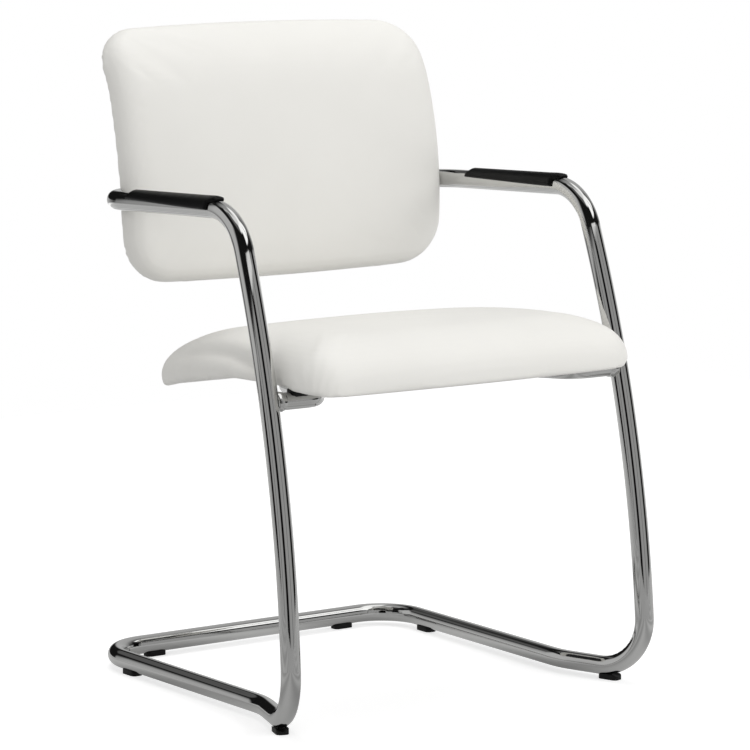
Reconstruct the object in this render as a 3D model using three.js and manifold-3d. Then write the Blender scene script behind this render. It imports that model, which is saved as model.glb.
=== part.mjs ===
// Sled base visitor chair with arms: one bent steel tube carries an upholstered seat and back.
// Millimetres, +Z up. The sitter faces -Y and the floor is Z = 0.
// The chair is the same on both sides of X = 0.
// Depths are measured forwards (towards -Y) from the axis of the rear floor rail.

import * as THREE from "three";
import { mergeVertices } from "three/addons/utils/BufferGeometryUtils.js";
import Module from "manifold-3d";

const wasm = await Module();
wasm.setup();

// Fits and clearances
const touchGap = 0.3;
const softGap = 0.8;
const overrun = 2;
const mergeDistance = 1e-4;

// Frame tube
const tubeDiameter = 25;
const tubeWall = 2;
const tubeSides = 12;
const baseHalfWidth = 243;
const kinkHalfWidth = 238;
const footHalfWidth = 281;
const kneeHalfWidth = 277;
const armHalfWidth = 272;
const kinkDepth = 396;
const footDepth = 525.5;
const kneeDepth = 503.5;
const kneeHeight = 350;
const armFrontDepth = 391;
const armFrontHeight = 648.5;
const crossDepth = 52;
const crossHeight = 636;
const baseBendRadius = 62;
const kinkBendRadius = 110;
const floorBendRadius = 68;
const legBowRadius = 1760;
const armBendRadius = 74;
const rearBendRadius = 72;
const bendStepDegrees = 18;
const longestChord = 75;
const jointSleeveLength = 90;
const jointSleeveWall = 2;

// Glides under the floor loop
const glideLift = 4.5;
const glideLength = 30;
const glideWidth = 17;
const glideCornerRadius = 6;
const glideRise = 4;
const glidePinRadius = 3;
const glidePinLength = 7;
const glideRearOffset = 155;
const glideSideDepth = 84;
const glideFrontShare = 0.58;

// Arm pads
const padThickness = 3.6;
const padRearDepth = 145;
const padLength = 215;
const padNoseLength = 7;
const padNoseLow = 5.6;
const padNoseHigh = 7;
const padFrontDrop = 1;
const padHoodSlant = 9;
const padHoodHigh = 11.5;
const padHoodLow = 8;
const padSectionSteps = 10;
const padStudRadius = 3.5;
const padStudLength = 9;
const padFixShares = [0.25, 0.78];

// Seat carrier, a smaller tube welded to the inside of both legs
const carrierDiameter = 22;
const carrierWall = 1.5;
const carrierHeight = 417;
const carrierRearGap = 15;
const carrierSpan = 168;
const carrierShoulderInset = 76;
const carrierRearHalfWidth = 146;
const carrierFrontBendRadius = 30;
const carrierRearBendRadius = 50;
const weldRadiusGain = 3;
const weldLength = 7;
const seatFixFrontInset = 43;
const seatFixRearHalfWidth = 74;

// Upholstery, common to the seat and the back
const coverThickness = 1.2;
const liningThickness = 0.6;
const liningOverlap = 7;
const shellEdgeClearance = 1;
const cornerSteps = 4;
const sideSteps = 8;
const rollSteps = 5;
const columnShares = [-1, -0.55, 0, 0.55, 1];

// Seat, placed from the points where its carrier leaves the legs
const seatFrontOverhang = 68.5;
const seatFrontRise = 7.5;
const seatFrontArc = 95;
const seatMiddleArc = 173;
const seatRearArc = 164;
const seatLength = 417.5;
const seatSideInset = 17.7;
const seatTaper = 30;
const seatShellThickness = 12;

// Back, side profile of its rear face from the lower edge to the upper edge
const backSideInset = 20.5;
const backLength = 337;
const backLowDepth = 80;
const backLowHeight = 526;
const backLowerArc = 243;
const backUpperArc = 94;
const backProfile = {
  y: -backLowDepth,
  z: backLowHeight,
  heading: THREE.MathUtils.degToRad(95.6),
  arcs: [
    { length: backLowerArc, turn: THREE.MathUtils.degToRad(-22.7) },
    { length: backUpperArc, turn: THREE.MathUtils.degToRad(-44) },
  ],
};
const backPad = {
  profile: backProfile,
  length: backLength,
  startHalfWidth: armHalfWidth - backSideInset,
  endHalfWidth: armHalfWidth - backSideInset,
  startRadius: 60,
  endRadius: 57,
  sideBow: 5.5,
  startBow: 6,
  endBow: 10,
  thickness: 34,
  rollInset: 30,
  lowerInset: 5,
  lowerRise: 6,
  lowerSteps: 2,
  crown: 5,
  shellInset: 18,
  coverFold: 34,
};
const backShellThickness = 10;

// Fixings
const screwRadius = 3;
const screwHoleRadius = 3.4;
const screwHeadRadius = 5.5;
const screwHeadHeight = 3.5;
const screwHeadClearance = 0.7;
const screwSides = 8;
const screwReach = 13;
const teeBarrelRadius = 4.2;
const teeBarrelLength = 8;
const teeFlangeRadius = 9;
const teeFlangeThickness = 1.5;
const spacerLength = 24;
const spacerWidth = 20;
const saddleWrap = 4;
const bracketHalfSpacing = 110;
const bracketWidth = 34;
const bracketLength = 92;
const bracketThickness = 3;
const bracketHoleOffset = 33;
const backSpacerRadius = 9;

const materials = {
  chrome: new THREE.MeshStandardMaterial({ color: 0xc9cbce, roughness: 0.08, metalness: 1 }),
  zinc: new THREE.MeshStandardMaterial({ color: 0x9a9da1, roughness: 0.35, metalness: 1 }),
  leatherette: new THREE.MeshStandardMaterial({ color: 0xeceae5, roughness: 0.5, metalness: 0 }),
  foam: new THREE.MeshStandardMaterial({ color: 0xe6dcb8, roughness: 0.95, metalness: 0 }),
  plywood: new THREE.MeshStandardMaterial({ color: 0xc79f6b, roughness: 0.7, metalness: 0 }),
  lining: new THREE.MeshStandardMaterial({ color: 0x2a2a2b, roughness: 0.95, metalness: 0 }),
  blackPlastic: new THREE.MeshStandardMaterial({ color: 0x141415, roughness: 0.45, metalness: 0 }),
};

const tubeRadius = tubeDiameter / 2;
const tubeBore = tubeRadius - tubeWall;
const carrierRadius = carrierDiameter / 2;
const railHeight = glideLift + tubeRadius;

// The radius of a hole that clears a many-sided rod whichever way its flats lie.
const clearOf = (radius) => (radius + touchGap) / Math.cos(Math.PI / tubeSides);

// Solids and booleans

// A geometry as a manifold solid, with its shared vertices merged and its faces turned outwards.
function solid(geometry, matrix) {
  const bare = geometry.index ? geometry.toNonIndexed() : geometry.clone();
  bare.deleteAttribute("normal");
  bare.deleteAttribute("uv");
  if (matrix) bare.applyMatrix4(matrix);
  const merged = mergeVertices(bare, mergeDistance);
  const triVerts = new Uint32Array(merged.index.array);
  const vertProperties = merged.attributes.position.array;
  const made = new wasm.Manifold(new wasm.Mesh({ numProp: 3, vertProperties, triVerts }));
  if (made.volume() >= 0) return made;
  for (let i = 0; i < triVerts.length; i += 3) {
    [triVerts[i], triVerts[i + 1]] = [triVerts[i + 1], triVerts[i]];
  }
  return new wasm.Manifold(new wasm.Mesh({ numProp: 3, vertProperties, triVerts }));
}

function geometryOf(made) {
  const mesh = made.getMesh();
  const geometry = new THREE.BufferGeometry();
  const positions = new Float32Array(mesh.vertProperties);
  geometry.setAttribute("position", new THREE.BufferAttribute(positions, 3));
  geometry.setIndex(new THREE.BufferAttribute(new Uint32Array(mesh.triVerts), 1));
  geometry.computeVertexNormals();
  return geometry;
}

function subtractAll(made, cutters) {
  return cutters.reduce((rest, cutter) => rest.subtract(cutter), made);
}

// Bent tubes

// Stations along a polyline whose inner corners are rounded: a point and a direction each.
function bentPath(corners) {
  const stations = [];
  const last = corners.length - 1;
  const direction = (i, j) => corners[j].at.clone().sub(corners[i].at).normalize();
  stations.push({ point: corners[0].at.clone(), tangent: direction(0, 1) });
  for (let i = 1; i < last; i++) {
    const before = direction(i - 1, i);
    const after = direction(i, i + 1);
    const angle = before.angleTo(after);
    const radius = corners[i].radius;
    const inward = after.clone().addScaledVector(before, -Math.cos(angle)).normalize();
    const start = corners[i].at.clone().addScaledVector(before, -radius * Math.tan(angle / 2));
    const byAngle = Math.ceil(angle / THREE.MathUtils.degToRad(bendStepDegrees));
    const byChord = Math.ceil((radius * angle) / longestChord);
    const steps = Math.max(byAngle, byChord);
    for (let k = 0; k <= steps; k++) {
      const turn = (angle * k) / steps;
      const point = start
        .clone()
        .addScaledVector(before, radius * Math.sin(turn))
        .addScaledVector(inward, radius * (1 - Math.cos(turn)));
      const tangent = before
        .clone()
        .multiplyScalar(Math.cos(turn))
        .addScaledVector(inward, Math.sin(turn));
      stations.push({ point, tangent });
    }
  }
  stations.push({ point: corners[last].at.clone(), tangent: direction(last - 1, last) });
  return stations;
}

// The stations as a curve whose equal steps are the stations themselves.
class StationCurve extends THREE.Curve {
  constructor(stations) {
    super();
    this.stations = stations;
  }
  pick(u) {
    return this.stations[Math.round(u * (this.stations.length - 1))];
  }
  getPointAt(u) {
    return this.pick(u).point.clone();
  }
  getTangentAt(u) {
    return this.pick(u).tangent.clone();
  }
}

function rod(stations, radius, sides) {
  const section = new THREE.Shape();
  section.absarc(0, 0, radius, 0, Math.PI * 2, false);
  const geometry = new THREE.ExtrudeGeometry(section, {
    steps: stations.length - 1,
    curveSegments: sides / 2,
    extrudePath: new StationCurve(stations),
  });
  return solid(geometry);
}

// The same stations with both ends run on by a length.
function runOn(stations, length) {
  const first = stations[0];
  const last = stations[stations.length - 1];
  return [
    { point: first.point.clone().addScaledVector(first.tangent, -length), tangent: first.tangent },
    ...stations.slice(1, -1),
    { point: last.point.clone().addScaledVector(last.tangent, length), tangent: last.tangent },
  ];
}

// The bore runs on less than half of the gap between two tube ends that meet.
function tube(stations, radius, wall, sides) {
  return rod(stations, radius, sides).subtract(rod(runOn(stations, touchGap / 3), radius - wall, sides));
}

const mirrored = (v) => new THREE.Vector3(-v.x, v.y, v.z);
const at = (x, depth, z) => new THREE.Vector3(x, -depth, z);

const rightCorners = [
  { at: at(touchGap / 2, crossDepth, crossHeight), radius: 0 },
  { at: at(armHalfWidth, crossDepth, crossHeight), radius: rearBendRadius },
  { at: at(armHalfWidth, armFrontDepth, armFrontHeight), radius: armBendRadius },
  { at: at(kneeHalfWidth, kneeDepth, kneeHeight), radius: legBowRadius },
  { at: at(footHalfWidth, footDepth, railHeight), radius: floorBendRadius },
  { at: at(kinkHalfWidth, kinkDepth, railHeight), radius: kinkBendRadius },
  { at: at(baseHalfWidth, 0, railHeight), radius: baseBendRadius },
];
const leftCorners = rightCorners.map(({ at: v, radius }) => ({ at: mirrored(v), radius })).reverse();
const frameStations = bentPath([...rightCorners, ...leftCorners]);
const rearBendCount = bentPath(rightCorners.slice(0, 3)).length - 1;

// The axis of the right leg at a height.
function frameAxisAt(height) {
  const above = frameStations.filter(({ point }) => point.x > 0 && point.z > height).pop().point;
  const below = frameStations.find(({ point }) => point.x > 0 && point.z <= height).point;
  return above.clone().lerp(below, (above.z - height) / (above.z - below.z));
}

// Places a group so that its local Z runs along a direction that lies in the YZ plane.
function tilted(point, heading) {
  const group = new THREE.Group();
  group.position.copy(point);
  group.rotation.x = heading;
  group.updateMatrixWorld(true);
  return group;
}

function cylinder(radius, low, high, sides) {
  const geometry = new THREE.CylinderGeometry(radius, radius, high - low, sides);
  geometry.rotateX(Math.PI / 2);
  geometry.translate(0, 0, (low + high) / 2);
  return geometry;
}

// Glides: one geometry, six places on the floor loop.
const kinkPoint = rightCorners[5].at;
const footPoint = rightCorners[4].at;
const frontGlidePoint = kinkPoint.clone().lerp(footPoint, glideFrontShare);
const kinkAngle = Math.atan2(footPoint.y - kinkPoint.y, footPoint.x - kinkPoint.x);
const sideShare = glideSideDepth / kinkDepth;
const sideHalfWidth = baseHalfWidth + (kinkHalfWidth - baseHalfWidth) * sideShare;
const sideAngle = Math.atan2(kinkDepth, baseHalfWidth - kinkHalfWidth);
const glidePlaces = [
  { name: "glide_front_right", x: frontGlidePoint.x, y: frontGlidePoint.y, angle: kinkAngle },
  { name: "glide_front_left", x: -frontGlidePoint.x, y: frontGlidePoint.y, angle: -kinkAngle },
  { name: "glide_side_right", x: sideHalfWidth, y: -glideSideDepth, angle: sideAngle },
  { name: "glide_side_left", x: -sideHalfWidth, y: -glideSideDepth, angle: -sideAngle },
  { name: "glide_rear_right", x: glideRearOffset, y: 0, angle: 0 },
  { name: "glide_rear_left", x: -glideRearOffset, y: 0, angle: 0 },
];

function roundedBlock(length, width, radius, height) {
  const x = length / 2;
  const y = width / 2;
  const outline = new THREE.Shape();
  outline.absarc(x - radius, y - radius, radius, 0, Math.PI / 2, false);
  outline.absarc(radius - x, y - radius, radius, Math.PI / 2, Math.PI, false);
  outline.absarc(radius - x, radius - y, radius, Math.PI, Math.PI * 1.5, false);
  outline.absarc(x - radius, radius - y, radius, Math.PI * 1.5, Math.PI * 2, false);
  return new THREE.ExtrudeGeometry(outline, { depth: height, bevelEnabled: false, curveSegments: 3 });
}

// A rod that lies along local X at a height, for the saddle in a block.
function lyingRod(radius, length, height, sides) {
  const geometry = new THREE.CylinderGeometry(radius, radius, length, sides);
  geometry.rotateZ(Math.PI / 2);
  geometry.translate(0, 0, height);
  return geometry;
}

function glideSolid() {
  const block = solid(roundedBlock(glideLength, glideWidth, glideCornerRadius, glideLift + glideRise));
  const saddle = lyingRod(clearOf(tubeRadius), glideLength * 2, railHeight, tubeSides);
  const pin = cylinder(glidePinRadius, glideLift / 2, glideLift + glidePinLength, screwSides);
  return block.subtract(solid(saddle)).add(solid(pin));
}

function glideHole(place) {
  const hole = cylinder(glidePinRadius + touchGap, 0, railHeight, screwSides);
  return solid(hole, new THREE.Matrix4().makeTranslation(place.x, place.y, 0));
}

// Arm pads: a half shell along the arm and its front bend, with a pointed rear end and a slanted hood.
const padTilt = Math.atan2(armFrontHeight - crossHeight, armFrontDepth - crossDepth);
const padRearHeight = crossHeight + (padRearDepth - crossDepth) * Math.tan(padTilt);
const padOuter = tubeRadius + touchGap + padThickness;

// Local frame of a pad: X across, Y along the arm towards the front, Z up.
function padFrame(side) {
  const group = new THREE.Group();
  group.position.set(side * armHalfWidth, -padRearDepth, padRearHeight);
  group.rotation.set(padTilt, 0, Math.PI, "ZXY");
  group.updateMatrixWorld(true);
  return group;
}

// The arm's bend as stations in the pad's own frame, where the arm itself runs along Y.
function padStations() {
  const cornerAt = (armFrontDepth - padRearDepth) / Math.cos(padTilt);
  const legTurn = Math.atan2(armFrontHeight - kneeHeight, kneeDepth - armFrontDepth) + padTilt;
  const legAlong = armBendRadius * Math.cos(legTurn);
  const legDown = armBendRadius * Math.sin(legTurn);
  return bentPath([
    { at: new THREE.Vector3(0, -overrun, 0), radius: 0 },
    { at: new THREE.Vector3(0, cornerAt, 0), radius: armBendRadius },
    { at: new THREE.Vector3(0, cornerAt + legAlong, -legDown), radius: 0 },
  ]);
}

// Rings of points joined into one closed surface, with a flat cap at each end.
function loft(rings, capOutline) {
  const count = rings[0].length;
  const positions = rings.flat().flatMap((p) => [p.x, p.y, p.z]);
  const index = [];
  for (let r = 0; r < rings.length - 1; r++) {
    for (let i = 0; i < count; i++) {
      const a = r * count + i;
      const b = r * count + ((i + 1) % count);
      index.push(a, b, b + count, a, b + count, a + count);
    }
  }
  const far = (rings.length - 1) * count;
  for (const [a, b, c] of THREE.ShapeUtils.triangulateShape(capOutline, [])) {
    index.push(a, c, b);
    index.push(far + a, far + b, far + c);
  }
  const geometry = new THREE.BufferGeometry();
  geometry.setAttribute("position", new THREE.Float32BufferAttribute(positions, 3));
  geometry.setIndex(index);
  return geometry;
}

// The pad's half-round section, carried a little below the middle of the tube.
function padSection() {
  const inner = tubeRadius + touchGap;
  const below = Math.asin(overrun / inner);
  const points = [];
  const arcs = [
    [padOuter, -below, Math.PI + below],
    [inner, Math.PI + below, -below],
  ];
  for (const [radius, from, to] of arcs) {
    for (let i = 0; i <= padSectionSteps; i++) {
      const a = from + ((to - from) * i) / padSectionSteps;
      points.push(new THREE.Vector2(radius * Math.cos(a), radius * Math.sin(a)));
    }
  }
  return points;
}

function padSolid() {
  const section = padSection();
  const across = new THREE.Vector3(1, 0, 0);
  const rings = padStations().map(({ point, tangent }) => {
    const up = across.clone().cross(tangent);
    return section.map((p) => point.clone().addScaledVector(across, p.x).addScaledVector(up, p.y));
  });
  const side = new THREE.Shape();
  side.moveTo(padNoseLength, padNoseLow);
  side.lineTo(0, padNoseHigh);
  side.quadraticCurveTo(0, padOuter, padNoseLength, padOuter + touchGap);
  side.lineTo(padNoseLength * 2, padOuter * 2);
  side.lineTo(padLength, padOuter * 2);
  side.lineTo(padLength, padHoodHigh);
  const hoodFoot = padLength - padHoodSlant;
  side.quadraticCurveTo(hoodFoot, padHoodLow, hoodFoot, -padFrontDrop);
  const wide = { depth: padOuter * 4, bevelEnabled: false, curveSegments: 5 };
  const slab = new THREE.ExtrudeGeometry(side, wide);
  slab.translate(0, 0, -padOuter * 2);
  // The outline is drawn in (Y, Z), so its own axes are turned into the pad's.
  slab.applyMatrix4(
    new THREE.Matrix4().makeBasis(
      new THREE.Vector3(0, 1, 0),
      new THREE.Vector3(0, 0, 1),
      new THREE.Vector3(1, 0, 0),
    ),
  );
  let made = solid(loft(rings, section)).intersect(solid(slab));
  const studTop = padOuter - padThickness / 2;
  for (const share of padFixShares) {
    const stud = cylinder(padStudRadius, studTop - padStudLength, studTop, screwSides);
    made = made.add(solid(stud, new THREE.Matrix4().makeTranslation(0, padLength * share, 0)));
  }
  return made;
}

// Holes in the frame tube for the studs under a pad.
function padHoles(frame) {
  return padFixShares.map((share) => {
    const along = new THREE.Matrix4().makeTranslation(0, padLength * share, 0);
    const place = frame.matrixWorld.clone().multiply(along);
    return solid(cylinder(padStudRadius + touchGap, 0, tubeDiameter, screwSides), place);
  });
}

// The point and heading at a length along a profile. Both ends run on along their own arcs.
function alongProfile(profile, s) {
  let { y, z, heading } = profile;
  let rest = s;
  const last = profile.arcs.length - 1;
  for (let i = 0; i <= last; i++) {
    const { length, turn } = profile.arcs[i];
    const step = i === last ? rest : Math.min(rest, length);
    const curvature = turn / length;
    const end = heading + curvature * step;
    y += (Math.sin(end) - Math.sin(heading)) / curvature;
    z -= (Math.cos(end) - Math.cos(heading)) / curvature;
    heading = end;
    rest -= step;
    if (rest <= 0) break;
  }
  return { y, z, heading };
}

// The length along a profile at which a line from a point, along a heading's normal, meets it,
// and how far that is.
function meetProfile(profile, y, z, heading) {
  const across = (s) => {
    const p = alongProfile(profile, s);
    return (p.y - y) * Math.cos(heading) + (p.z - z) * Math.sin(heading);
  };
  let low = 0;
  let high = profile.arcs.reduce((sum, arc) => sum + arc.length, 0);
  for (let i = 0; i < 40; i++) {
    const mid = (low + high) / 2;
    if (across(mid) < 0) low = mid;
    else high = mid;
  }
  const p = alongProfile(profile, low);
  return { s: low, reach: -(p.y - y) * Math.sin(heading) + (p.z - z) * Math.cos(heading) };
}

const carrierRoot = frameAxisAt(carrierHeight);

// Side profile of the seat's underside, from the front edge to the rear edge
const seatProfile = {
  y: carrierRoot.y - seatFrontOverhang,
  z: carrierHeight + seatFrontRise,
  heading: THREE.MathUtils.degToRad(11),
  arcs: [
    { length: seatFrontArc, turn: THREE.MathUtils.degToRad(-11.6) },
    { length: seatMiddleArc, turn: THREE.MathUtils.degToRad(-6.6) },
    { length: seatRearArc, turn: THREE.MathUtils.degToRad(-9.7) },
  ],
};

// Seat carrier: a tube that leaves one leg, turns rearwards, crosses under the seat and comes back
// to the other leg.
const carrierShoulder = carrierRoot.clone().setX(carrierRoot.x - carrierShoulderInset);
const carrierRearDepth = -carrierRoot.y - carrierSpan;
const seatRearReach = meetProfile(seatProfile, -carrierRearDepth, carrierHeight, 0).reach;
const carrierRearHeight = carrierHeight + seatRearReach - carrierRearGap;
const carrierRight = [
  { at: carrierRoot, radius: 0 },
  { at: carrierShoulder, radius: carrierFrontBendRadius },
  { at: at(carrierRearHalfWidth, carrierRearDepth, carrierRearHeight), radius: carrierRearBendRadius },
];
const carrierLeft = carrierRight.map(({ at: v, radius }) => ({ at: mirrored(v), radius })).reverse();
const carrierStations = bentPath([...carrierRight, ...carrierLeft]);

const seatPad = {
  profile: seatProfile,
  length: seatLength,
  startHalfWidth: carrierRoot.x - seatSideInset,
  endHalfWidth: carrierRoot.x - seatSideInset - seatTaper,
  startRadius: 45,
  endRadius: 27,
  sideBow: 4,
  startBow: 7,
  endBow: 6,
  thickness: 61,
  rollInset: 87,
  lowerInset: 7,
  lowerRise: 7,
  lowerSteps: 2,
  crown: 3,
  shellInset: 9,
  coverFold: 34,
};

function weldCollar(side) {
  const radius = carrierRadius + weldRadiusGain;
  const collar = cylinder(radius, 0, tubeRadius + touchGap + weldLength, tubeSides);
  const place = new THREE.Matrix4()
    .makeTranslation(side * carrierRoot.x, carrierRoot.y, carrierHeight)
    .multiply(new THREE.Matrix4().makeRotationY((-side * Math.PI) / 2));
  return solid(collar, place);
}

// Bent pads

// A point of the flat pad, across by x, along by s and out by n, carried onto the bent profile.
function bendPoint(profile, x, s, n) {
  const { y, z, heading } = alongProfile(profile, s);
  return new THREE.Vector3(x, y - Math.sin(heading) * n, z + Math.cos(heading) * n);
}

// The pad's outline drawn in by a length, as rows of half width and length along from one end to the other.
function padRows(pad, inset) {
  const start = pad.startHalfWidth - inset;
  const end = pad.endHalfWidth - inset;
  const startRadius = Math.max(pad.startRadius - inset, pad.startRadius / 3);
  const endRadius = Math.max(pad.endRadius - inset, pad.endRadius / 3);
  const rows = [];
  for (let i = 0; i <= cornerSteps; i++) {
    const a = (Math.PI / 2) * (i / cornerSteps);
    rows.push([start - startRadius * (1 - Math.sin(a)), inset + startRadius * (1 - Math.cos(a))]);
  }
  const low = inset + startRadius;
  const high = pad.length - inset - endRadius;
  for (let i = 1; i < sideSteps; i++) {
    const share = i / sideSteps;
    rows.push([start + (end - start) * share, low + (high - low) * share]);
  }
  for (let i = 0; i <= cornerSteps; i++) {
    const a = (Math.PI / 2) * (i / cornerSteps);
    rows.push([end - endRadius * (1 - Math.cos(a)), high + endRadius * Math.sin(a)]);
  }
  return rows;
}

// A flat point with the pad's bowed sides and ends added, carried onto the bent profile.
function padPoint(pad, x, s, n) {
  const u = x / Math.max(pad.startHalfWidth, pad.endHalfWidth);
  const v = (2 * s) / pad.length - 1;
  const bow = v > 0 ? pad.endBow : pad.startBow;
  return bendPoint(pad.profile, x + pad.sideBow * u * (1 - v * v), s + bow * v * (1 - u * u), n);
}

// A closed pad between two levels, made of rows across it.
// Its edge goes through the given [inset, n] pairs.
function bentPad(pad, edge, crown) {
  const last = columnShares.length - 1;
  const positions = [];
  const add = (x, s, n) => {
    const p = padPoint(pad, x, s, n);
    positions.push(p.x, p.y, p.z);
    return positions.length / 3 - 1;
  };
  const index = [];
  const quad = (a, b, c, d) => index.push(a, b, c, a, c, d);
  // One face as a grid of vertex numbers, and the loop of those round its outside.
  const face = (inset, level, dome) => {
    const rows = padRows(pad, inset);
    const middle = (rows[0][1] + rows[rows.length - 1][1]) / 2;
    return rows.map(([half, s]) => {
      const v = (s - middle) / (rows[0][1] - middle);
      const rise = dome * (1 - v * v);
      return columnShares.map((c) => add(half * c, s, level + rise * (1 - c * c)));
    });
  };
  const loopOf = (grid) => [
    ...grid[0].slice(0, last),
    ...grid.slice(0, -1).map((row) => row[last]),
    ...grid[grid.length - 1].slice(1).reverse(),
    ...grid.slice(1).map((row) => row[0]).reverse(),
  ];
  const low = face(edge[0][0], edge[0][1], 0);
  const high = face(edge[edge.length - 1][0], edge[edge.length - 1][1], crown);
  const loops = [loopOf(low)];
  for (const [inset, n] of edge.slice(1, -1)) {
    const rows = padRows(pad, inset);
    const first = columnShares.map((c) => add(rows[0][0] * c, rows[0][1], n));
    const end = rows[rows.length - 1];
    const final = columnShares.map((c) => add(end[0] * c, end[1], n));
    const inner = rows.slice(1, -1);
    const right = inner.map(([half, s]) => add(half, s, n));
    const left = inner.map(([half, s]) => add(-half, s, n));
    loops.push([...first, ...right, ...final.reverse(), ...left.reverse()]);
  }
  loops.push(loopOf(high));
  for (let r = 0; r < loops.length - 1; r++) {
    const count = loops[r].length;
    for (let i = 0; i < count; i++) {
      const j = (i + 1) % count;
      quad(loops[r][i], loops[r][j], loops[r + 1][j], loops[r + 1][i]);
    }
  }
  for (let r = 0; r < low.length - 1; r++) {
    for (let c = 0; c < last; c++) {
      quad(low[r][c], low[r + 1][c], low[r + 1][c + 1], low[r][c + 1]);
      quad(high[r][c], high[r][c + 1], high[r + 1][c + 1], high[r + 1][c]);
    }
  }
  const geometry = new THREE.BufferGeometry();
  geometry.setAttribute("position", new THREE.Float32BufferAttribute(positions, 3));
  geometry.setIndex(index);
  return solid(geometry);
}

// The pad's edge from its flat face round to its show face, drawn in all round by an offset.
function padEdge(pad, offset) {
  const edge = [];
  for (let i = 0; i <= pad.lowerSteps; i++) {
    const a = (Math.PI / 2) * (i / pad.lowerSteps);
    const across = pad.lowerInset - offset;
    const rise = pad.lowerRise - offset;
    edge.push([offset + across * (1 - Math.sin(a)), offset + rise * (1 - Math.cos(a))]);
  }
  for (let i = 1; i <= rollSteps; i++) {
    const a = (Math.PI / 2) * (i / rollSteps);
    const across = pad.rollInset - offset;
    const rise = pad.thickness - pad.lowerRise - offset;
    edge.push([offset + across * (1 - Math.cos(a)), pad.lowerRise + rise * Math.sin(a)]);
  }
  return edge;
}

function slabEdge(inset, low, high) {
  return [
    [inset, low],
    [inset, high],
  ];
}

// The heading of the profile at its foot point below or behind a given point.
function footHeading(profile, y, z) {
  let heading = alongProfile(profile, 0).heading;
  for (let i = 0; i < 20; i++) {
    heading = alongProfile(profile, meetProfile(profile, y, z, heading).s).heading;
  }
  return heading;
}

// A seat or back: cover, foam and shell, each cut for the fixings that pass through it.
// The tube presses a groove into the pad where it passes: the cover follows the groove and the foam
// lies behind it.
function upholster(pad, shellThickness, fixings, groove) {
  const shellLow = coverThickness + softGap;
  const shellHigh = shellLow + shellThickness;
  const plug = slabEdge(pad.coverFold, -softGap * 2, coverThickness * 2);
  const holes = (radius, low, high) =>
    fixings.map(({ frame, reach }) =>
      solid(cylinder(radius, reach + low, reach + high, screwSides), frame.matrixWorld),
    );
  const teeHole = teeBarrelRadius + touchGap;
  const grooved = (offset) =>
    subtractAll(bentPad(pad, padEdge(pad, offset), pad.crown), groove(softGap + offset));
  const cover = subtractAll(grooved(0).subtract(grooved(coverThickness)), [
    bentPad(pad, plug, 0),
    ...holes(screwHoleRadius, -shellThickness, shellThickness),
  ]);
  const shell = subtractAll(
    bentPad(pad, slabEdge(pad.shellInset, shellLow, shellHigh), 0),
    holes(teeHole, -shellThickness, shellHigh + shellThickness),
  );
  const foam = subtractAll(grooved(coverThickness + touchGap), [
    bentPad(pad, slabEdge(pad.shellInset - shellEdgeClearance, -softGap * 2, shellHigh + softGap), 0),
    ...holes(teeFlangeRadius + touchGap, 0, shellHigh + teeFlangeThickness + softGap * 2),
  ]);
  const lining = subtractAll(
    bentPad(pad, slabEdge(pad.coverFold - liningOverlap, -softGap - liningThickness, -softGap), 0),
    holes(screwHoleRadius, -shellThickness, shellThickness),
  );
  return { cover, foam, shell, lining, shellLow, shellHigh };
}

// A tee nut in the shell: barrel through the hole, flange on the foam side.
function teeNutSolid(reach, shellHigh) {
  const flangeLow = reach + shellHigh + softGap;
  const flangeHigh = flangeLow + teeFlangeThickness;
  const barrel = cylinder(teeBarrelRadius, flangeLow - teeBarrelLength, flangeHigh, screwSides);
  const flange = cylinder(teeFlangeRadius, flangeLow, flangeHigh, screwSides);
  const boreLow = flangeLow - teeBarrelLength * 2;
  const bore = cylinder(screwRadius + touchGap, boreLow, flangeLow + teeFlangeThickness * 2, screwSides);
  return solid(barrel).add(solid(flange)).subtract(solid(bore));
}

function screwSolid(seat, tip) {
  const shank = cylinder(screwRadius, seat - screwHeadHeight / 2, tip, screwSides);
  const head = cylinder(screwHeadRadius, seat - screwHeadHeight, seat, screwSides);
  return solid(shank).add(solid(head));
}

// Seat fixings: two where the carrier leaves the legs and two on its cross run.
const seatFixFront = carrierRoot.clone().setX(carrierRoot.x - seatFixFrontInset);
const seatFixings = [
  { name: "front_right", point: seatFixFront },
  { name: "front_left", point: mirrored(seatFixFront) },
  { name: "rear_right", point: at(seatFixRearHalfWidth, carrierRearDepth, carrierRearHeight) },
  { name: "rear_left", point: at(-seatFixRearHalfWidth, carrierRearDepth, carrierRearHeight) },
].map((fixing) => {
  const heading = footHeading(seatProfile, fixing.point.y, fixing.point.z);
  const frame = tilted(fixing.point, heading);
  const { reach } = meetProfile(seatProfile, fixing.point.y, fixing.point.z, heading);
  return { ...fixing, frame, reach };
});

// The seat screws' heads lie inside the carrier, against its upper wall. Holes below let them in.
const seatScrewSeat = Math.sqrt((carrierRadius - carrierWall) ** 2 - screwHeadRadius ** 2) - touchGap;
const seatScrewAccess = screwHeadRadius + screwHeadClearance;

// A spacer between the carrier and the seat, saddled over the tube.
function seatSpacerSolid(reach) {
  const low = carrierRadius - saddleWrap;
  const height = reach - softGap * 2 - liningThickness - low;
  const block = solid(
    roundedBlock(spacerLength, spacerWidth, spacerWidth / 4, height),
    new THREE.Matrix4().makeTranslation(0, 0, low),
  );
  const saddle = solid(lyingRod(clearOf(carrierRadius), spacerLength * 2, 0, tubeSides));
  const bore = solid(cylinder(screwHoleRadius, 0, reach, screwSides));
  return block.subtract(saddle).subtract(bore);
}

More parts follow.
